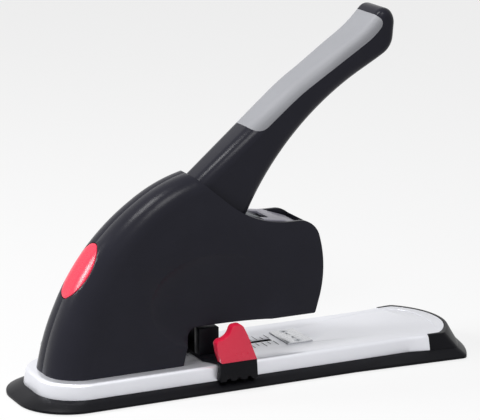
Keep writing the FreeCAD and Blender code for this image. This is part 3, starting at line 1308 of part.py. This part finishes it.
# Latch: a bell crank that the stem turns and whose foot lifts off the drawer's tail
half_thick = size.latch_half_thickness
foot_block = block(hook_spot.x - size.latch_tooth_width / 2, hook_spot.x + size.latch_tooth_width / 2,
                   -half_thick, half_thick, size.latch_foot_z, hook_spot.z)
latch = strap(latch_pin, size.latch_arm_radius, pad_spot, size.latch_arm_radius,
              -half_thick, half_thick)
latch = latch.fuse([strap(latch_pin, size.latch_arm_radius, hook_spot, size.latch_tooth_width / 2,
                          -half_thick, half_thick), foot_block])
latch = latch.cut(disc(latch_pin.x, latch_pin.z, size.latch_pin_radius + size.pin_clearance, -half_thick,
                       half_thick)).removeSplitter()
node(solid(latch), "latch_lever")

# Every object and shape is checked before anything is written
doc.recompute()
for thing in doc.Objects:
    if "Invalid" in thing.State or "Error" in thing.State:
        raise RuntimeError("%s did not compute: %s" % (thing.Label, thing.State))
os.makedirs("parts", exist_ok=True)
for thing in NODES:
    if thing.Shape.isNull() or not thing.Shape.isValid() or not thing.Shape.Solids:
        raise RuntimeError("%s has no valid solid" % thing.Label)
    thing.Shape.exportStep("parts/%s.step" % thing.Label)
print("wrote %d pieces" % len(NODES))
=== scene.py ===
import json
import math

import bpy
from mathutils import Matrix, Vector

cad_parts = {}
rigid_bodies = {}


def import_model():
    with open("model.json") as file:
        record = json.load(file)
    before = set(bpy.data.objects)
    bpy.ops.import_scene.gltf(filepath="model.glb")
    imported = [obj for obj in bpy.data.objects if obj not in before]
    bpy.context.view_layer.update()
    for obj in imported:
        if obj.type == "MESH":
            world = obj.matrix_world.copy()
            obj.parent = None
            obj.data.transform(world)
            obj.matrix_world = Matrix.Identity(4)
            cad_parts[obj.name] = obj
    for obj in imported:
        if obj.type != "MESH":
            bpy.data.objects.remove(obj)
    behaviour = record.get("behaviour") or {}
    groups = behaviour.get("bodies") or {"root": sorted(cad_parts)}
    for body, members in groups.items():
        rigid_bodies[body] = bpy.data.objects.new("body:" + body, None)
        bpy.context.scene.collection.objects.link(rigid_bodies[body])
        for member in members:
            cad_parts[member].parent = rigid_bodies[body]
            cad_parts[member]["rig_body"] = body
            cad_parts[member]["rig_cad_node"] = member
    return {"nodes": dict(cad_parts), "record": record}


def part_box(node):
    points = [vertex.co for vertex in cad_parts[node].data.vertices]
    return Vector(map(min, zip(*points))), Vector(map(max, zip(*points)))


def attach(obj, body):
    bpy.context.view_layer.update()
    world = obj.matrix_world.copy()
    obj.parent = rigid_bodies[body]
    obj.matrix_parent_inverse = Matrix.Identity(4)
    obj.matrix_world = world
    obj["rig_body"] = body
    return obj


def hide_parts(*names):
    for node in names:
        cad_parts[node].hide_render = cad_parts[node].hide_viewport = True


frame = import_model()

bl_info = {
    "name": "Long lever stapler",
    "version": (1, 0, 0),
    "blender": (4, 5, 0),
    "location": "View3D > Sidebar > Stapler",
    "description": "Dresses the packed long lever stapler and sets it on a pale floor",
    "category": "Object",
}

MM = 0.001
BODY_OF = {
    name: body
    for body, names in frame["record"]["behaviour"]["bodies"].items()
    for name in names
}
SLOT_OF = {part["node"]: part["material_slot"] for part in frame["record"]["subparts"]}
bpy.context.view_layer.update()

# Making and shading of a piece, angles in degrees and the distance in millimetres
MERGE_DISTANCE = 0.002
FLAT_ANGLE = 0.3
BEVEL_ANGLE = 35
SMOOTH_ANGLE = 32
ROUND_SMOOTH_ANGLE = 40

# Places on the stapler, in millimetres
BASE_SCREWS = tuple((x, y) for x in (-88, 88) for y in (-20, 20))
ANVIL_SCREWS = tuple((34.7, y) for y in (-10, 10))
HEAD_SCREWS = ((-121, 27), (-61, 107), (-30, 69))
CROSS_SPAN = 3.2
SMALL_CROSS_SPAN = 2.8
SLOT_ENDS = (-39, 22)
SLOT_HALF_WIDTH = 1.75
RULER_ENDS = (-51, 22)
BEAD_LINE = ((69, 22), (82, 24), (95, 26.4), (107, 27.6), (117, 27.2), (125, 23.5), (129.5, 14),
             (131, 3), (130, -10), (127, -22))
DIMPLE_PLACES = (-21.4, -17.3, -13.2)
DIMPLE_LEVEL = 23.1

# The noise of the grain and of the clouds, and how far the roughness plays with the grain
GRAIN_NOISE = {"Detail": 3.0, "Roughness": 0.6}
CLOUD_NOISE = {"Detail": 2.0}
ROUGH_PLAY = 0.05
LEAST_ROUGH = 0.04

# The studio's lamps: name, place and aim in metres, width in metres, and power in watts
LAMPS = (
    ("top_softbox", (-0.42, 0.06, 1.05), (-0.03, 0, 0.08), 0.3, 5.5),
    ("front_softbox", (-0.2, -0.85, 1.3), (0, 0, 0.08), 0.5, 9.0),
    ("rear_softbox", (-0.95, 0.5, 0.65), (-0.03, 0, 0.12), 0.3, 5.5),
)
WHITE = "#FFFFFF"
WHITE_STRENGTH = 1.0
FILL_STRENGTH = 0.1
FLOOR_WHITE_SHARE = 0.8

# The camera: its place and clipping in metres, its direction, and its sensor and lens in mm
CAMERA_PLACE = (-0.66395, -1.36950, 0.49195)
CAMERA_AHEAD = (0.42242, 0.87164, -0.24863)
SENSOR_WIDTH = 36.0
LENS = 193.83
CLIP_NEAR, CLIP_FAR = 0.05, 50.0


def hexed(code):
    """A linear colour with full alpha from an sRGB hex value."""
    shares = [int(code[i:i + 2], 16) / 255 for i in (1, 3, 5)]
    return [s / 12.92 if s <= 0.04045 else ((s + 0.055) / 1.055) ** 2.4 for s in shares] + [1.0]


def colour(label, code):
    """A colour property with its default from a hex value."""
    return bpy.props.FloatVectorProperty(
        name=label, description=label + " of the finished stapler",
        subtype="COLOR", size=4, min=0, max=1, default=hexed(code))


def length(label, millimetres):
    """A length property, in metres, with its default from millimetres."""
    return bpy.props.FloatProperty(
        name=label, description=label + " as measured on the stapler",
        subtype="DISTANCE", unit="LENGTH", min=0, default=millimetres * MM)


class StaplerColours(bpy.types.PropertyGroup):
    """The colours that a user may change."""
    casing: colour("Casing black", "#26262E")
    base: colour("Base black", "#131317")
    red: colour("Button and tab red", "#EA2147")
    grip: colour("Grip grey", "#97989D")
    silver: colour("Cover silver", "#E9EAF0")
    saddle: colour("Saddle grey", "#908E9B")
    zinc: colour("Zinc plate", "#B4B7BC")
    ground: colour("Ground steel", "#C6C7CA")
    spring: colour("Spring wire", "#8D8F94")
    rubber: colour("Foot rubber", "#232326")
    ink: colour("Ruler ink", "#3A3A40")
    floor: colour("Floor", "#F4F4F5")


class StaplerSizes(bpy.types.PropertyGroup):
    """The sizes of the details that a user may change."""
    seam: length("Seam bevel", 0.35)
    soft_edge: length("Sheet metal edge", 0.2)
    tick_pitch: length("Ruler pitch", 4)
    tick_start: length("Ruler mark from the middle", 3)
    tick_long: length("Long ruler mark", 8)
    tick_short: length("Short ruler mark", 5)
    tick_width: length("Ruler mark width", 0.5)
    ink_height: length("Ink thickness", 0.05)
    bead_radius: length("Plate bead radius", 0.55)
    bead_height: length("Plate bead height", 0.2)
    dimple_radius: length("Tab dimple radius", 0.8)
    dimple_height: length("Tab dimple height", 0.35)
    recess_depth: length("Screw recess depth", 0.8)
    floor_reach: length("Floor reach", 6000)


def colours():
    return bpy.context.scene.stapler_colours


def sizes():
    return bpy.context.scene.stapler_sizes


def add(tree, kind, values=(), feeds=(), **settings):
    """Adds one shader node with its settings, its socket values and the outputs that feed it."""
    made = tree.nodes.new(kind)
    for name, value in settings.items():
        setattr(made, name, value)
    for name, value in dict(values).items():
        made.inputs[name].default_value = value
    for name, source in dict(feeds).items():
        tree.links.new(source, made.inputs[name])
    return made


def blank(name):
    """A named material with an empty node tree and its output node."""
    material = bpy.data.materials.new(name)
    material.use_nodes = True
    material.node_tree.nodes.clear()
    return material, material.node_tree, material.node_tree.nodes.new("ShaderNodeOutputMaterial")


def seen_directly(tree):
    """The output that is 1 for what the camera sees, also in a gloss or through glass."""
    path = add(tree, "ShaderNodeLightPath")
    seen = path.outputs["Is Camera Ray"]
    for ray in ("Is Glossy Ray", "Is Transmission Ray"):
        seen = add(tree, "ShaderNodeMath", feeds={0: seen, 1: path.outputs[ray]},
                   operation="MAXIMUM").outputs[0]
    return seen


def grained(name, tint, rough, grain, relief, metal=0.0, drag=(1, 1, 1), cloud=20.0, spread=0.06,
            gloss=()):
    """A surface with a fine relief and soft clouds of tone, with grain, relief and cloud in mm."""
    material, tree, output = blank(name)
    place = add(tree, "ShaderNodeTexCoord").outputs["Object"]
    drawn = add(tree, "ShaderNodeMapping", {"Scale": drag}, {"Vector": place}).outputs["Vector"]
    fine = add(tree, "ShaderNodeTexNoise", {"Scale": 1 / (grain * MM), **GRAIN_NOISE},
               {"Vector": drawn}).outputs["Fac"]
    clouds = add(tree, "ShaderNodeTexNoise", {"Scale": 1 / (cloud * MM), **CLOUD_NOISE},
                 {"Vector": place}).outputs["Fac"]
    dark = [channel * (1 - spread) for channel in tint[:3]] + [1.0]
    light = [min(1.0, channel * (1 + spread)) for channel in tint[:3]] + [1.0]
    tone = add(tree, "ShaderNodeMix", {"A": dark, "B": light}, data_type="RGBA")
    tree.links.new(clouds, tone.inputs["Factor"])
    lowest, highest = max(LEAST_ROUGH, rough - ROUGH_PLAY), min(1.0, rough + ROUGH_PLAY)
    speck = add(tree, "ShaderNodeMapRange", {"To Min": lowest, "To Max": highest}, {"Value": fine})
    bump = add(tree, "ShaderNodeBump", {"Strength": 1.0, "Distance": relief * MM}, {"Height": fine})
    shader = add(tree, "ShaderNodeBsdfPrincipled", {"Metallic": metal, **dict(gloss)},
                 {"Base Color": tone.outputs["Result"], "Roughness": speck.outputs["Result"],
                  "Normal": bump.outputs["Normal"]})
    tree.links.new(shader.outputs["BSDF"], output.inputs["Surface"])
    return material


def make_materials():
    """Every finish of the stapler, under its slot's name in the record, and the ruler's ink."""
    c = colours()
    # The fine mould texture scatters part of the mirror reflection of plain ABS
    satin = {"IOR": 1.53, "Specular IOR Level": 0.08}
    return {
        # Moulded ABS from a spark eroded mould: satin black, with a grain so fine that it only
        # softens the highlight along the shoulders; drawn at half a millimetre, coarser than real
        "satin_black_plastic": grained("moulded_satin_abs", c.casing, rough=0.25, grain=0.5,
                                       relief=0.005, spread=0.1, gloss=satin),
        # The same ABS from a plainer mould: the base and the guide look a shade duller
        "black_plastic": grained("moulded_matte_abs", c.base, rough=0.38, grain=0.6,
                                 relief=0.01, spread=0.1, gloss=satin),
        # Soft grey elastomer moulded over the handle: matte, with a leathery grain
        "grey_grip": grained("moulded_grey_elastomer", c.grip, rough=0.55, grain=0.6,
                             relief=0.02, spread=0.04),
        # Polished red ABS: deep colour under clear highlights
        "red_plastic": grained("moulded_red_abs", c.red, rough=0.28, grain=0.5,
                               relief=0.002, spread=0.04),
        # Aluminium lacquer on pressed steel: flakes give a bright, slightly streaked sheen
        "silver_cover": grained("silver_lacquered_steel", c.silver, rough=0.34, grain=0.4,
                                relief=0.003, metal=0.6, spread=0.03, drag=(0.15, 1, 1)),
        # Grey lacquer on pressed steel: satin, with no streaks
        "lavender_cover": grained("grey_lacquered_steel", c.saddle, rough=0.36, grain=0.5,
                                  relief=0.004, metal=0.2, spread=0.03),
        # Bright zinc plate: metallic, with the faint cloudy tone of the bath
        "zinc_steel": grained("zinc_plated_steel", c.zinc, rough=0.38, grain=0.5,
                              relief=0.006, metal=1.0, cloud=9.0, spread=0.1),
        # Ground steel: scratches drawn out along the length
        "bright_steel": grained("ground_steel", c.ground, rough=0.28, grain=0.4,
                                relief=0.006, metal=1.0, drag=(0.08, 1, 1)),
        # Hard drawn spring wire: darker, with draw marks
        "spring_steel": grained("drawn_spring_wire", c.spring, rough=0.35, grain=0.3,
                                relief=0.004, metal=1.0, spread=0.1),
        # Solid rubber feet: dull and slightly dusty
        "rubber": grained("solid_rubber", c.rubber, rough=0.85, grain=0.8,
                          relief=0.03, spread=0.15),
        # Screen printed ink of the ruler: flat and matte
        "ruler_ink": grained("printed_ink", c.ink, rough=0.6, grain=0.5, relief=0.002),
    }


FINISH = {}


def finish_for(slot):
    """The material of a slot; the first call makes them all."""
    if not FINISH:
        FINISH.update(make_materials())
    return FINISH[slot]


def choose(*objects):
    """Only these objects are selected, the first one active."""
    bpy.ops.object.select_all(action="DESELECT")
    for thing in objects:
        thing.select_set(True)
    bpy.context.view_layer.objects.active = objects[0]


def remove(thing):
    choose(thing)
    bpy.ops.object.delete()


def paint(thing, material):
    thing.data.materials.clear()
    thing.data.materials.append(material)


def modify(thing, kind, **settings):
    """Adds a modifier and applies it."""
    choose(thing)
    modifier = thing.modifiers.new(kind.title(), kind)
    for name, value in settings.items():
        setattr(modifier, name, value)
    bpy.ops.object.modifier_apply(modifier=modifier.name)


def dressed(node, edge):
    """A smooth copy of a CAD piece with its crisp edges broken, which then stands for it."""
    choose(frame["nodes"][node])
    bpy.ops.object.duplicate()
    piece = bpy.context.view_layer.objects.active
    piece.name = node + "_finished"
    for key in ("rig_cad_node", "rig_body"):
        if key in piece:
            del piece[key]
    piece.parent = None
    bpy.ops.object.mode_set(mode="EDIT")
    bpy.ops.mesh.select_all(action="SELECT")
    bpy.ops.mesh.remove_doubles(threshold=MERGE_DISTANCE * MM)
    bpy.ops.mesh.dissolve_limited(angle_limit=math.radians(FLAT_ANGLE))
    bpy.ops.mesh.customdata_custom_splitnormals_clear()
    bpy.ops.object.mode_set(mode="OBJECT")
    if edge:
        modify(piece, "BEVEL", width=edge, segments=2, limit_method="ANGLE",
               angle_limit=math.radians(BEVEL_ANGLE), use_clamp_overlap=True,
               harden_normals=False, miter_outer="MITER_ARC")
    choose(piece)
    bpy.ops.object.shade_smooth_by_angle(angle=math.radians(SMOOTH_ANGLE))
    paint(piece, finish_for(SLOT_OF[node]))
    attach(piece, BODY_OF[node])
    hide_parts(node)
    return piece


def seat(piece, body, slot, material=None):
    """Places a new piece on its body with its slot and finish, its object at the origin."""
    choose(piece)
    bpy.ops.object.transform_apply(location=True, rotation=True, scale=True)
    paint(piece, material or finish_for(slot))
    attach(piece, body)


def recessed(piece, spots, axis, side, span):
    """Cuts a cross recess into each screw's head, at spots in the plane across the axis, in mm."""
    across = [i for i in range(3) if i != axis]
    spots = [[place * MM for place in spot] for spot in spots]
    span = span * MM
    bar = span / 4
    depth = sizes().recess_depth
    for turn in (0, 1):
        bars = []
        for spot in spots:
            face = max(side * v.co[axis] for v in piece.data.vertices
                       if math.hypot(*(v.co[i] - s for i, s in zip(across, spot))) < span) * side
            middle, extent = [0, 0, 0], [0, 0, 0]
            middle[axis], extent[axis] = face, 2 * depth
            for i, s in zip(across, spot):
                middle[i] = s
            extent[across[turn]], extent[across[1 - turn]] = span, bar
            bpy.ops.mesh.primitive_cube_add(size=1, location=middle, scale=extent)
            bars.append(bpy.context.object)
        choose(*bars)
        bpy.ops.object.join()
        cutter = bpy.context.object
        modify(piece, "BOOLEAN", operation="DIFFERENCE", solver="EXACT", object=cutter)
        remove(cutter)


class STAPLER_OT_base(bpy.types.Operator):
    """Finishes the skirt, its feet and screws, the silver cover and the black cap"""
    bl_idname = "stapler.base"
    bl_label = "Base"

    def execute(self, context):
        edge = sizes().soft_edge
        for name in ("base_skirt", "front_end_cap", "rubber_feet"):
            dressed(name, edge)
        screws = dressed("base_screws", edge)
        recessed(screws, BASE_SCREWS, axis=2, side=-1, span=CROSS_SPAN)
        cover = dressed("base_cover", edge)
        # The guide's slot walls get the black finish: painted shade, standing in for the shadow
        # down in the narrow slot of the silver cover
        cover.data.materials.append(finish_for("black_plastic"))
        black = len(cover.data.materials) - 1
        corners = cover.data.vertices
        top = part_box("base_cover")[1].z - edge / 2
        rear, front = (end * MM for end in SLOT_ENDS)
        # Faces inside the slot, below the cover's top, take the painted shade
        for face in cover.data.polygons:
            spot = sum((corners[i].co for i in face.vertices), Vector()) / len(face.vertices)
            if abs(spot.y) < SLOT_HALF_WIDTH * MM and rear < spot.x < front and spot.z < top:
                face.material_index = black
        return {"FINISHED"}


class STAPLER_OT_bead(bpy.types.Operator):
    """Raises the pressed line along the far side and the front of the silver cover"""
    bl_idname = "stapler.bead"
    bl_label = "Cover bead"

    def execute(self, context):
        s = sizes()
        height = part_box("base_cover")[1].z - s.bead_radius + s.bead_height
        bpy.ops.curve.primitive_nurbs_path_add()
        bead = context.object
        bead.name = "cover_bead"
        bead.data.splines.clear()
        run = bead.data.splines.new("NURBS")
        run.points.add(len(BEAD_LINE) - 1)
        for point, (x, y) in zip(run.points, BEAD_LINE):
            point.co = (x * MM, y * MM, height, 1)
        run.use_endpoint_u = True
        run.order_u = 4
        run.resolution_u = 12
        bead.data.bevel_depth = s.bead_radius
        bead.data.bevel_resolution = 3
        bead.data.use_fill_caps = True
        bead.location = (0, 0, 0)
        choose(bead)
        bpy.ops.object.convert(target="MESH")
        seat(bead, "stand", "silver_cover")
        bpy.ops.object.shade_smooth_by_angle(angle=math.radians(ROUND_SMOOTH_ANGLE))
        return {"FINISHED"}


class STAPLER_OT_anvil(bpy.types.Operator):
    """Finishes the anvil plate and its screws"""
    bl_idname = "stapler.anvil"
    bl_label = "Anvil"

    def execute(self, context):
        edge = sizes().soft_edge / 2
        dressed("anvil_plate", edge)
        screws = dressed("anvil_screws", edge)
        recessed(screws, ANVIL_SCREWS, axis=2, side=1, span=SMALL_CROSS_SPAN)
        return {"FINISHED"}


class STAPLER_OT_ruler(bpy.types.Operator):
    """Prints the ruler marks on both sides of the guide's slot"""
    bl_idname = "stapler.ruler"
    bl_label = "Ruler"

    def execute(self, context):
        s = sizes()
        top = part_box("base_cover")[1].z
        first, last = (end * MM for end in RULER_ENDS)
        count = int((last - first) / s.tick_pitch) + 1
        rounding = s.tick_width / 3
        # Long and short marks take turns, so each row holds every second place
        step = 2
        for side, name in ((-1, "ruler_near"), (1, "ruler_far")):
            for start, kind, run in ((0, "long", s.tick_long), (1, "short", s.tick_short)):
                inner = side * s.tick_start
                bpy.ops.mesh.primitive_cube_add(size=1, location=(
                    first + start * s.tick_pitch, inner + side * run / 2, top + s.ink_height / 2))
                mark = bpy.context.object
                mark.scale = (s.tick_width, run, s.ink_height)
                mark.name = "%s_%s" % (name, kind)
                bpy.ops.object.transform_apply(location=True, rotation=True, scale=True)
                modify(mark, "ARRAY", count=(count - start + 1) // step, use_relative_offset=False,
                       use_constant_offset=True,
                       constant_offset_displace=(step * s.tick_pitch, 0, 0))
                modify(mark, "BEVEL", width=rounding, segments=2, limit_method="NONE",
                       affect="VERTICES")
                seat(mark, "stand", "black_plastic", finish_for("ruler_ink"))
        return {"FINISHED"}


class STAPLER_OT_guide(bpy.types.Operator):
    """Finishes the depth guide with its red finger tab"""
    bl_idname = "stapler.guide"
    bl_label = "Depth guide"

    def execute(self, context):
        s = sizes()
        for name in ("guide_slider", "guide_stops", "guide_tab"):
            dressed(name, s.soft_edge * 2)
        # Three small domes, a little sunk in the tab's face, copied from one ball cut by a plane
        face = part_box("guide_tab")[0].y
        sunk = s.dimple_height / 4
        bpy.ops.mesh.primitive_uv_sphere_add(segments=24, ring_count=12, radius=s.dimple_radius)
        dome = context.object
        dome.scale.y = s.dimple_height / s.dimple_radius
        bpy.ops.object.transform_apply(location=True, rotation=True, scale=True)
        bpy.ops.object.mode_set(mode="EDIT")
        bpy.ops.mesh.select_all(action="SELECT")
        bpy.ops.mesh.bisect(plane_co=(0, sunk, 0), plane_no=(0, 1, 0), clear_outer=True,
                            use_fill=True)
        bpy.ops.object.mode_set(mode="OBJECT")
        for number, x in enumerate(DIMPLE_PLACES, 1):
            choose(dome)
            bpy.ops.object.duplicate()
            mark = context.object
            mark.name = "tab_dimple_%d" % number
            mark.location = (x * MM, face, DIMPLE_LEVEL * MM)
            seat(mark, "depth_guide", "red_plastic")
            bpy.ops.object.shade_smooth_by_angle(angle=math.radians(ROUND_SMOOTH_ANGLE))
        remove(dome)
        return {"FINISHED"}


class STAPLER_OT_head(bpy.types.Operator):
    """Finishes the two head shells, their screws and the saddle between them"""
    bl_idname = "stapler.head"
    bl_label = "Head"

    def execute(self, context):
        s = sizes()
        for name in ("head_shell_near", "head_shell_far"):
            dressed(name, s.seam)
        dressed("saddle_cover", s.soft_edge)
        screws = dressed("head_screws", s.soft_edge)
        recessed(screws, HEAD_SCREWS, axis=1, side=1, span=CROSS_SPAN)
        return {"FINISHED"}


class STAPLER_OT_button(bpy.types.Operator):
    """Finishes the oval release button"""
    bl_idname = "stapler.button"
    bl_label = "Release button"

    def execute(self, context):
        dressed("release_button", sizes().soft_edge * 2)
        return {"FINISHED"}


class STAPLER_OT_handle(bpy.types.Operator):
    """Finishes the handle's shells, its grip and its screws"""
    bl_idname = "stapler.handle"
    bl_label = "Handle"

    def execute(self, context):
        for name in ("handle_upper_shell", "handle_lower_shell", "handle_grip"):
            dressed(name, sizes().seam)
        dressed("handle_screws", sizes().soft_edge)
        return {"FINISHED"}


class STAPLER_OT_magazine(bpy.types.Operator):
    """Finishes the magazine's front, its channel and the staple drawer"""
    bl_idname = "stapler.magazine"
    bl_label = "Magazine"

    def execute(self, context):
        for name in ("drawer_face", "magazine_channel", "staple_drawer"):
            dressed(name, sizes().soft_edge)
        return {"FINISHED"}


class STAPLER_OT_mechanism(bpy.types.Operator):
    """Gives every remaining steel and plastic piece of the mechanism its finish"""
    bl_idname = "stapler.mechanism"
    bl_label = "Mechanism"

    def execute(self, context):
        for name, thing in frame["nodes"].items():
            if not thing.hide_render:
                paint(thing, finish_for(SLOT_OF[name]))
        return {"FINISHED"}


class STAPLER_OT_stage(bpy.types.Operator):
    """Sets the pale floor, the soft lamps and the camera"""
    bl_idname = "stapler.stage"
    bl_label = "Stage"

    def execute(self, context):
        scene = context.scene

        bpy.ops.mesh.primitive_plane_add(size=sizes().floor_reach, location=(0, 0, 0))
        floor = context.object
        floor.name = "floor"
        material, tree, output = blank("pale_floor")
        share = add(tree, "ShaderNodeMath", {1: FLOOR_WHITE_SHARE}, {0: seen_directly(tree)},
                    operation="MULTIPLY")
        matt = add(tree, "ShaderNodeBsdfDiffuse", {"Color": colours().floor})
        white = add(tree, "ShaderNodeEmission", {"Color": hexed(WHITE), "Strength": WHITE_STRENGTH})
        mix = add(tree, "ShaderNodeMixShader",
                  feeds={0: share.outputs[0], 1: matt.outputs[0], 2: white.outputs[0]})
        tree.links.new(mix.outputs[0], output.inputs["Surface"])
        paint(floor, material)

        world = bpy.data.worlds.new("studio_world")
        scene.world = world
        world.use_nodes = True
        tree = world.node_tree
        tree.nodes.clear()
        fill, white = (
            add(tree, "ShaderNodeBackground", {"Color": hexed(WHITE), "Strength": strength})
            for strength in (FILL_STRENGTH, WHITE_STRENGTH))
        mix = add(tree, "ShaderNodeMixShader",
                  feeds={0: seen_directly(tree), 1: fill.outputs[0], 2: white.outputs[0]})
        add(tree, "ShaderNodeOutputWorld", feeds={"Surface": mix.outputs[0]})

        for name, place, aim, across, power in LAMPS:
            lamp = bpy.data.lights.new(name, "AREA")
            lamp.shape, lamp.size, lamp.energy = "DISK", across, power
            thing = bpy.data.objects.new(name, lamp)
            scene.collection.objects.link(thing)
            thing.location = place
            thing.rotation_euler = (Vector(aim) - Vector(place)).to_track_quat("-Z", "Y").to_euler()

        data = bpy.data.cameras.new("photo_camera")
        data.sensor_width = SENSOR_WIDTH
        data.lens = LENS
        data.clip_start, data.clip_end = CLIP_NEAR, CLIP_FAR
        camera = bpy.data.objects.new("photo_camera", data)
        scene.collection.objects.link(camera)
        ahead = Vector(CAMERA_AHEAD).normalized()
        right = ahead.cross(Vector((0, 0, 1))).normalized()
        up = right.cross(ahead)
        turn = Matrix((right, up, -ahead)).transposed().to_4x4()
        camera.matrix_world = Matrix.Translation(CAMERA_PLACE) @ turn
        scene.camera = camera
        scene.view_settings.view_transform = "Standard"
        return {"FINISHED"}


class STAPLER_PT_panel(bpy.types.Panel):
    """Lists the stapler's steps, sizes and colours"""
    bl_idname = "STAPLER_PT_panel"
    bl_label = "Long lever stapler"
    bl_space_type = "VIEW_3D"
    bl_region_type = "UI"
    bl_category = "Stapler"

    def draw(self, context):
        for step in STEPS:
            self.layout.operator(step.bl_idname)
        for group in (context.scene.stapler_sizes, context.scene.stapler_colours):
            for name in group.__annotations__:
                self.layout.prop(group, name)


STEPS = (STAPLER_OT_base, STAPLER_OT_bead, STAPLER_OT_anvil, STAPLER_OT_ruler, STAPLER_OT_guide,
         STAPLER_OT_head, STAPLER_OT_button, STAPLER_OT_handle, STAPLER_OT_magazine,
         STAPLER_OT_mechanism, STAPLER_OT_stage)
CLASSES = (StaplerColours, StaplerSizes) + STEPS + (STAPLER_PT_panel,)


def register():
    for kind in CLASSES:
        bpy.utils.register_class(kind)
    bpy.types.Scene.stapler_colours = bpy.props.PointerProperty(type=StaplerColours)
    bpy.types.Scene.stapler_sizes = bpy.props.PointerProperty(type=StaplerSizes)


def unregister():
    del bpy.types.Scene.stapler_sizes
    del bpy.types.Scene.stapler_colours
    for kind in reversed(CLASSES):
        bpy.utils.unregister_class(kind)


def main():
    register()
    for step in STEPS:
        group, name = step.bl_idname.split(".")
        getattr(getattr(bpy.ops, group), name)()


if __name__ == "__main__":
    main()
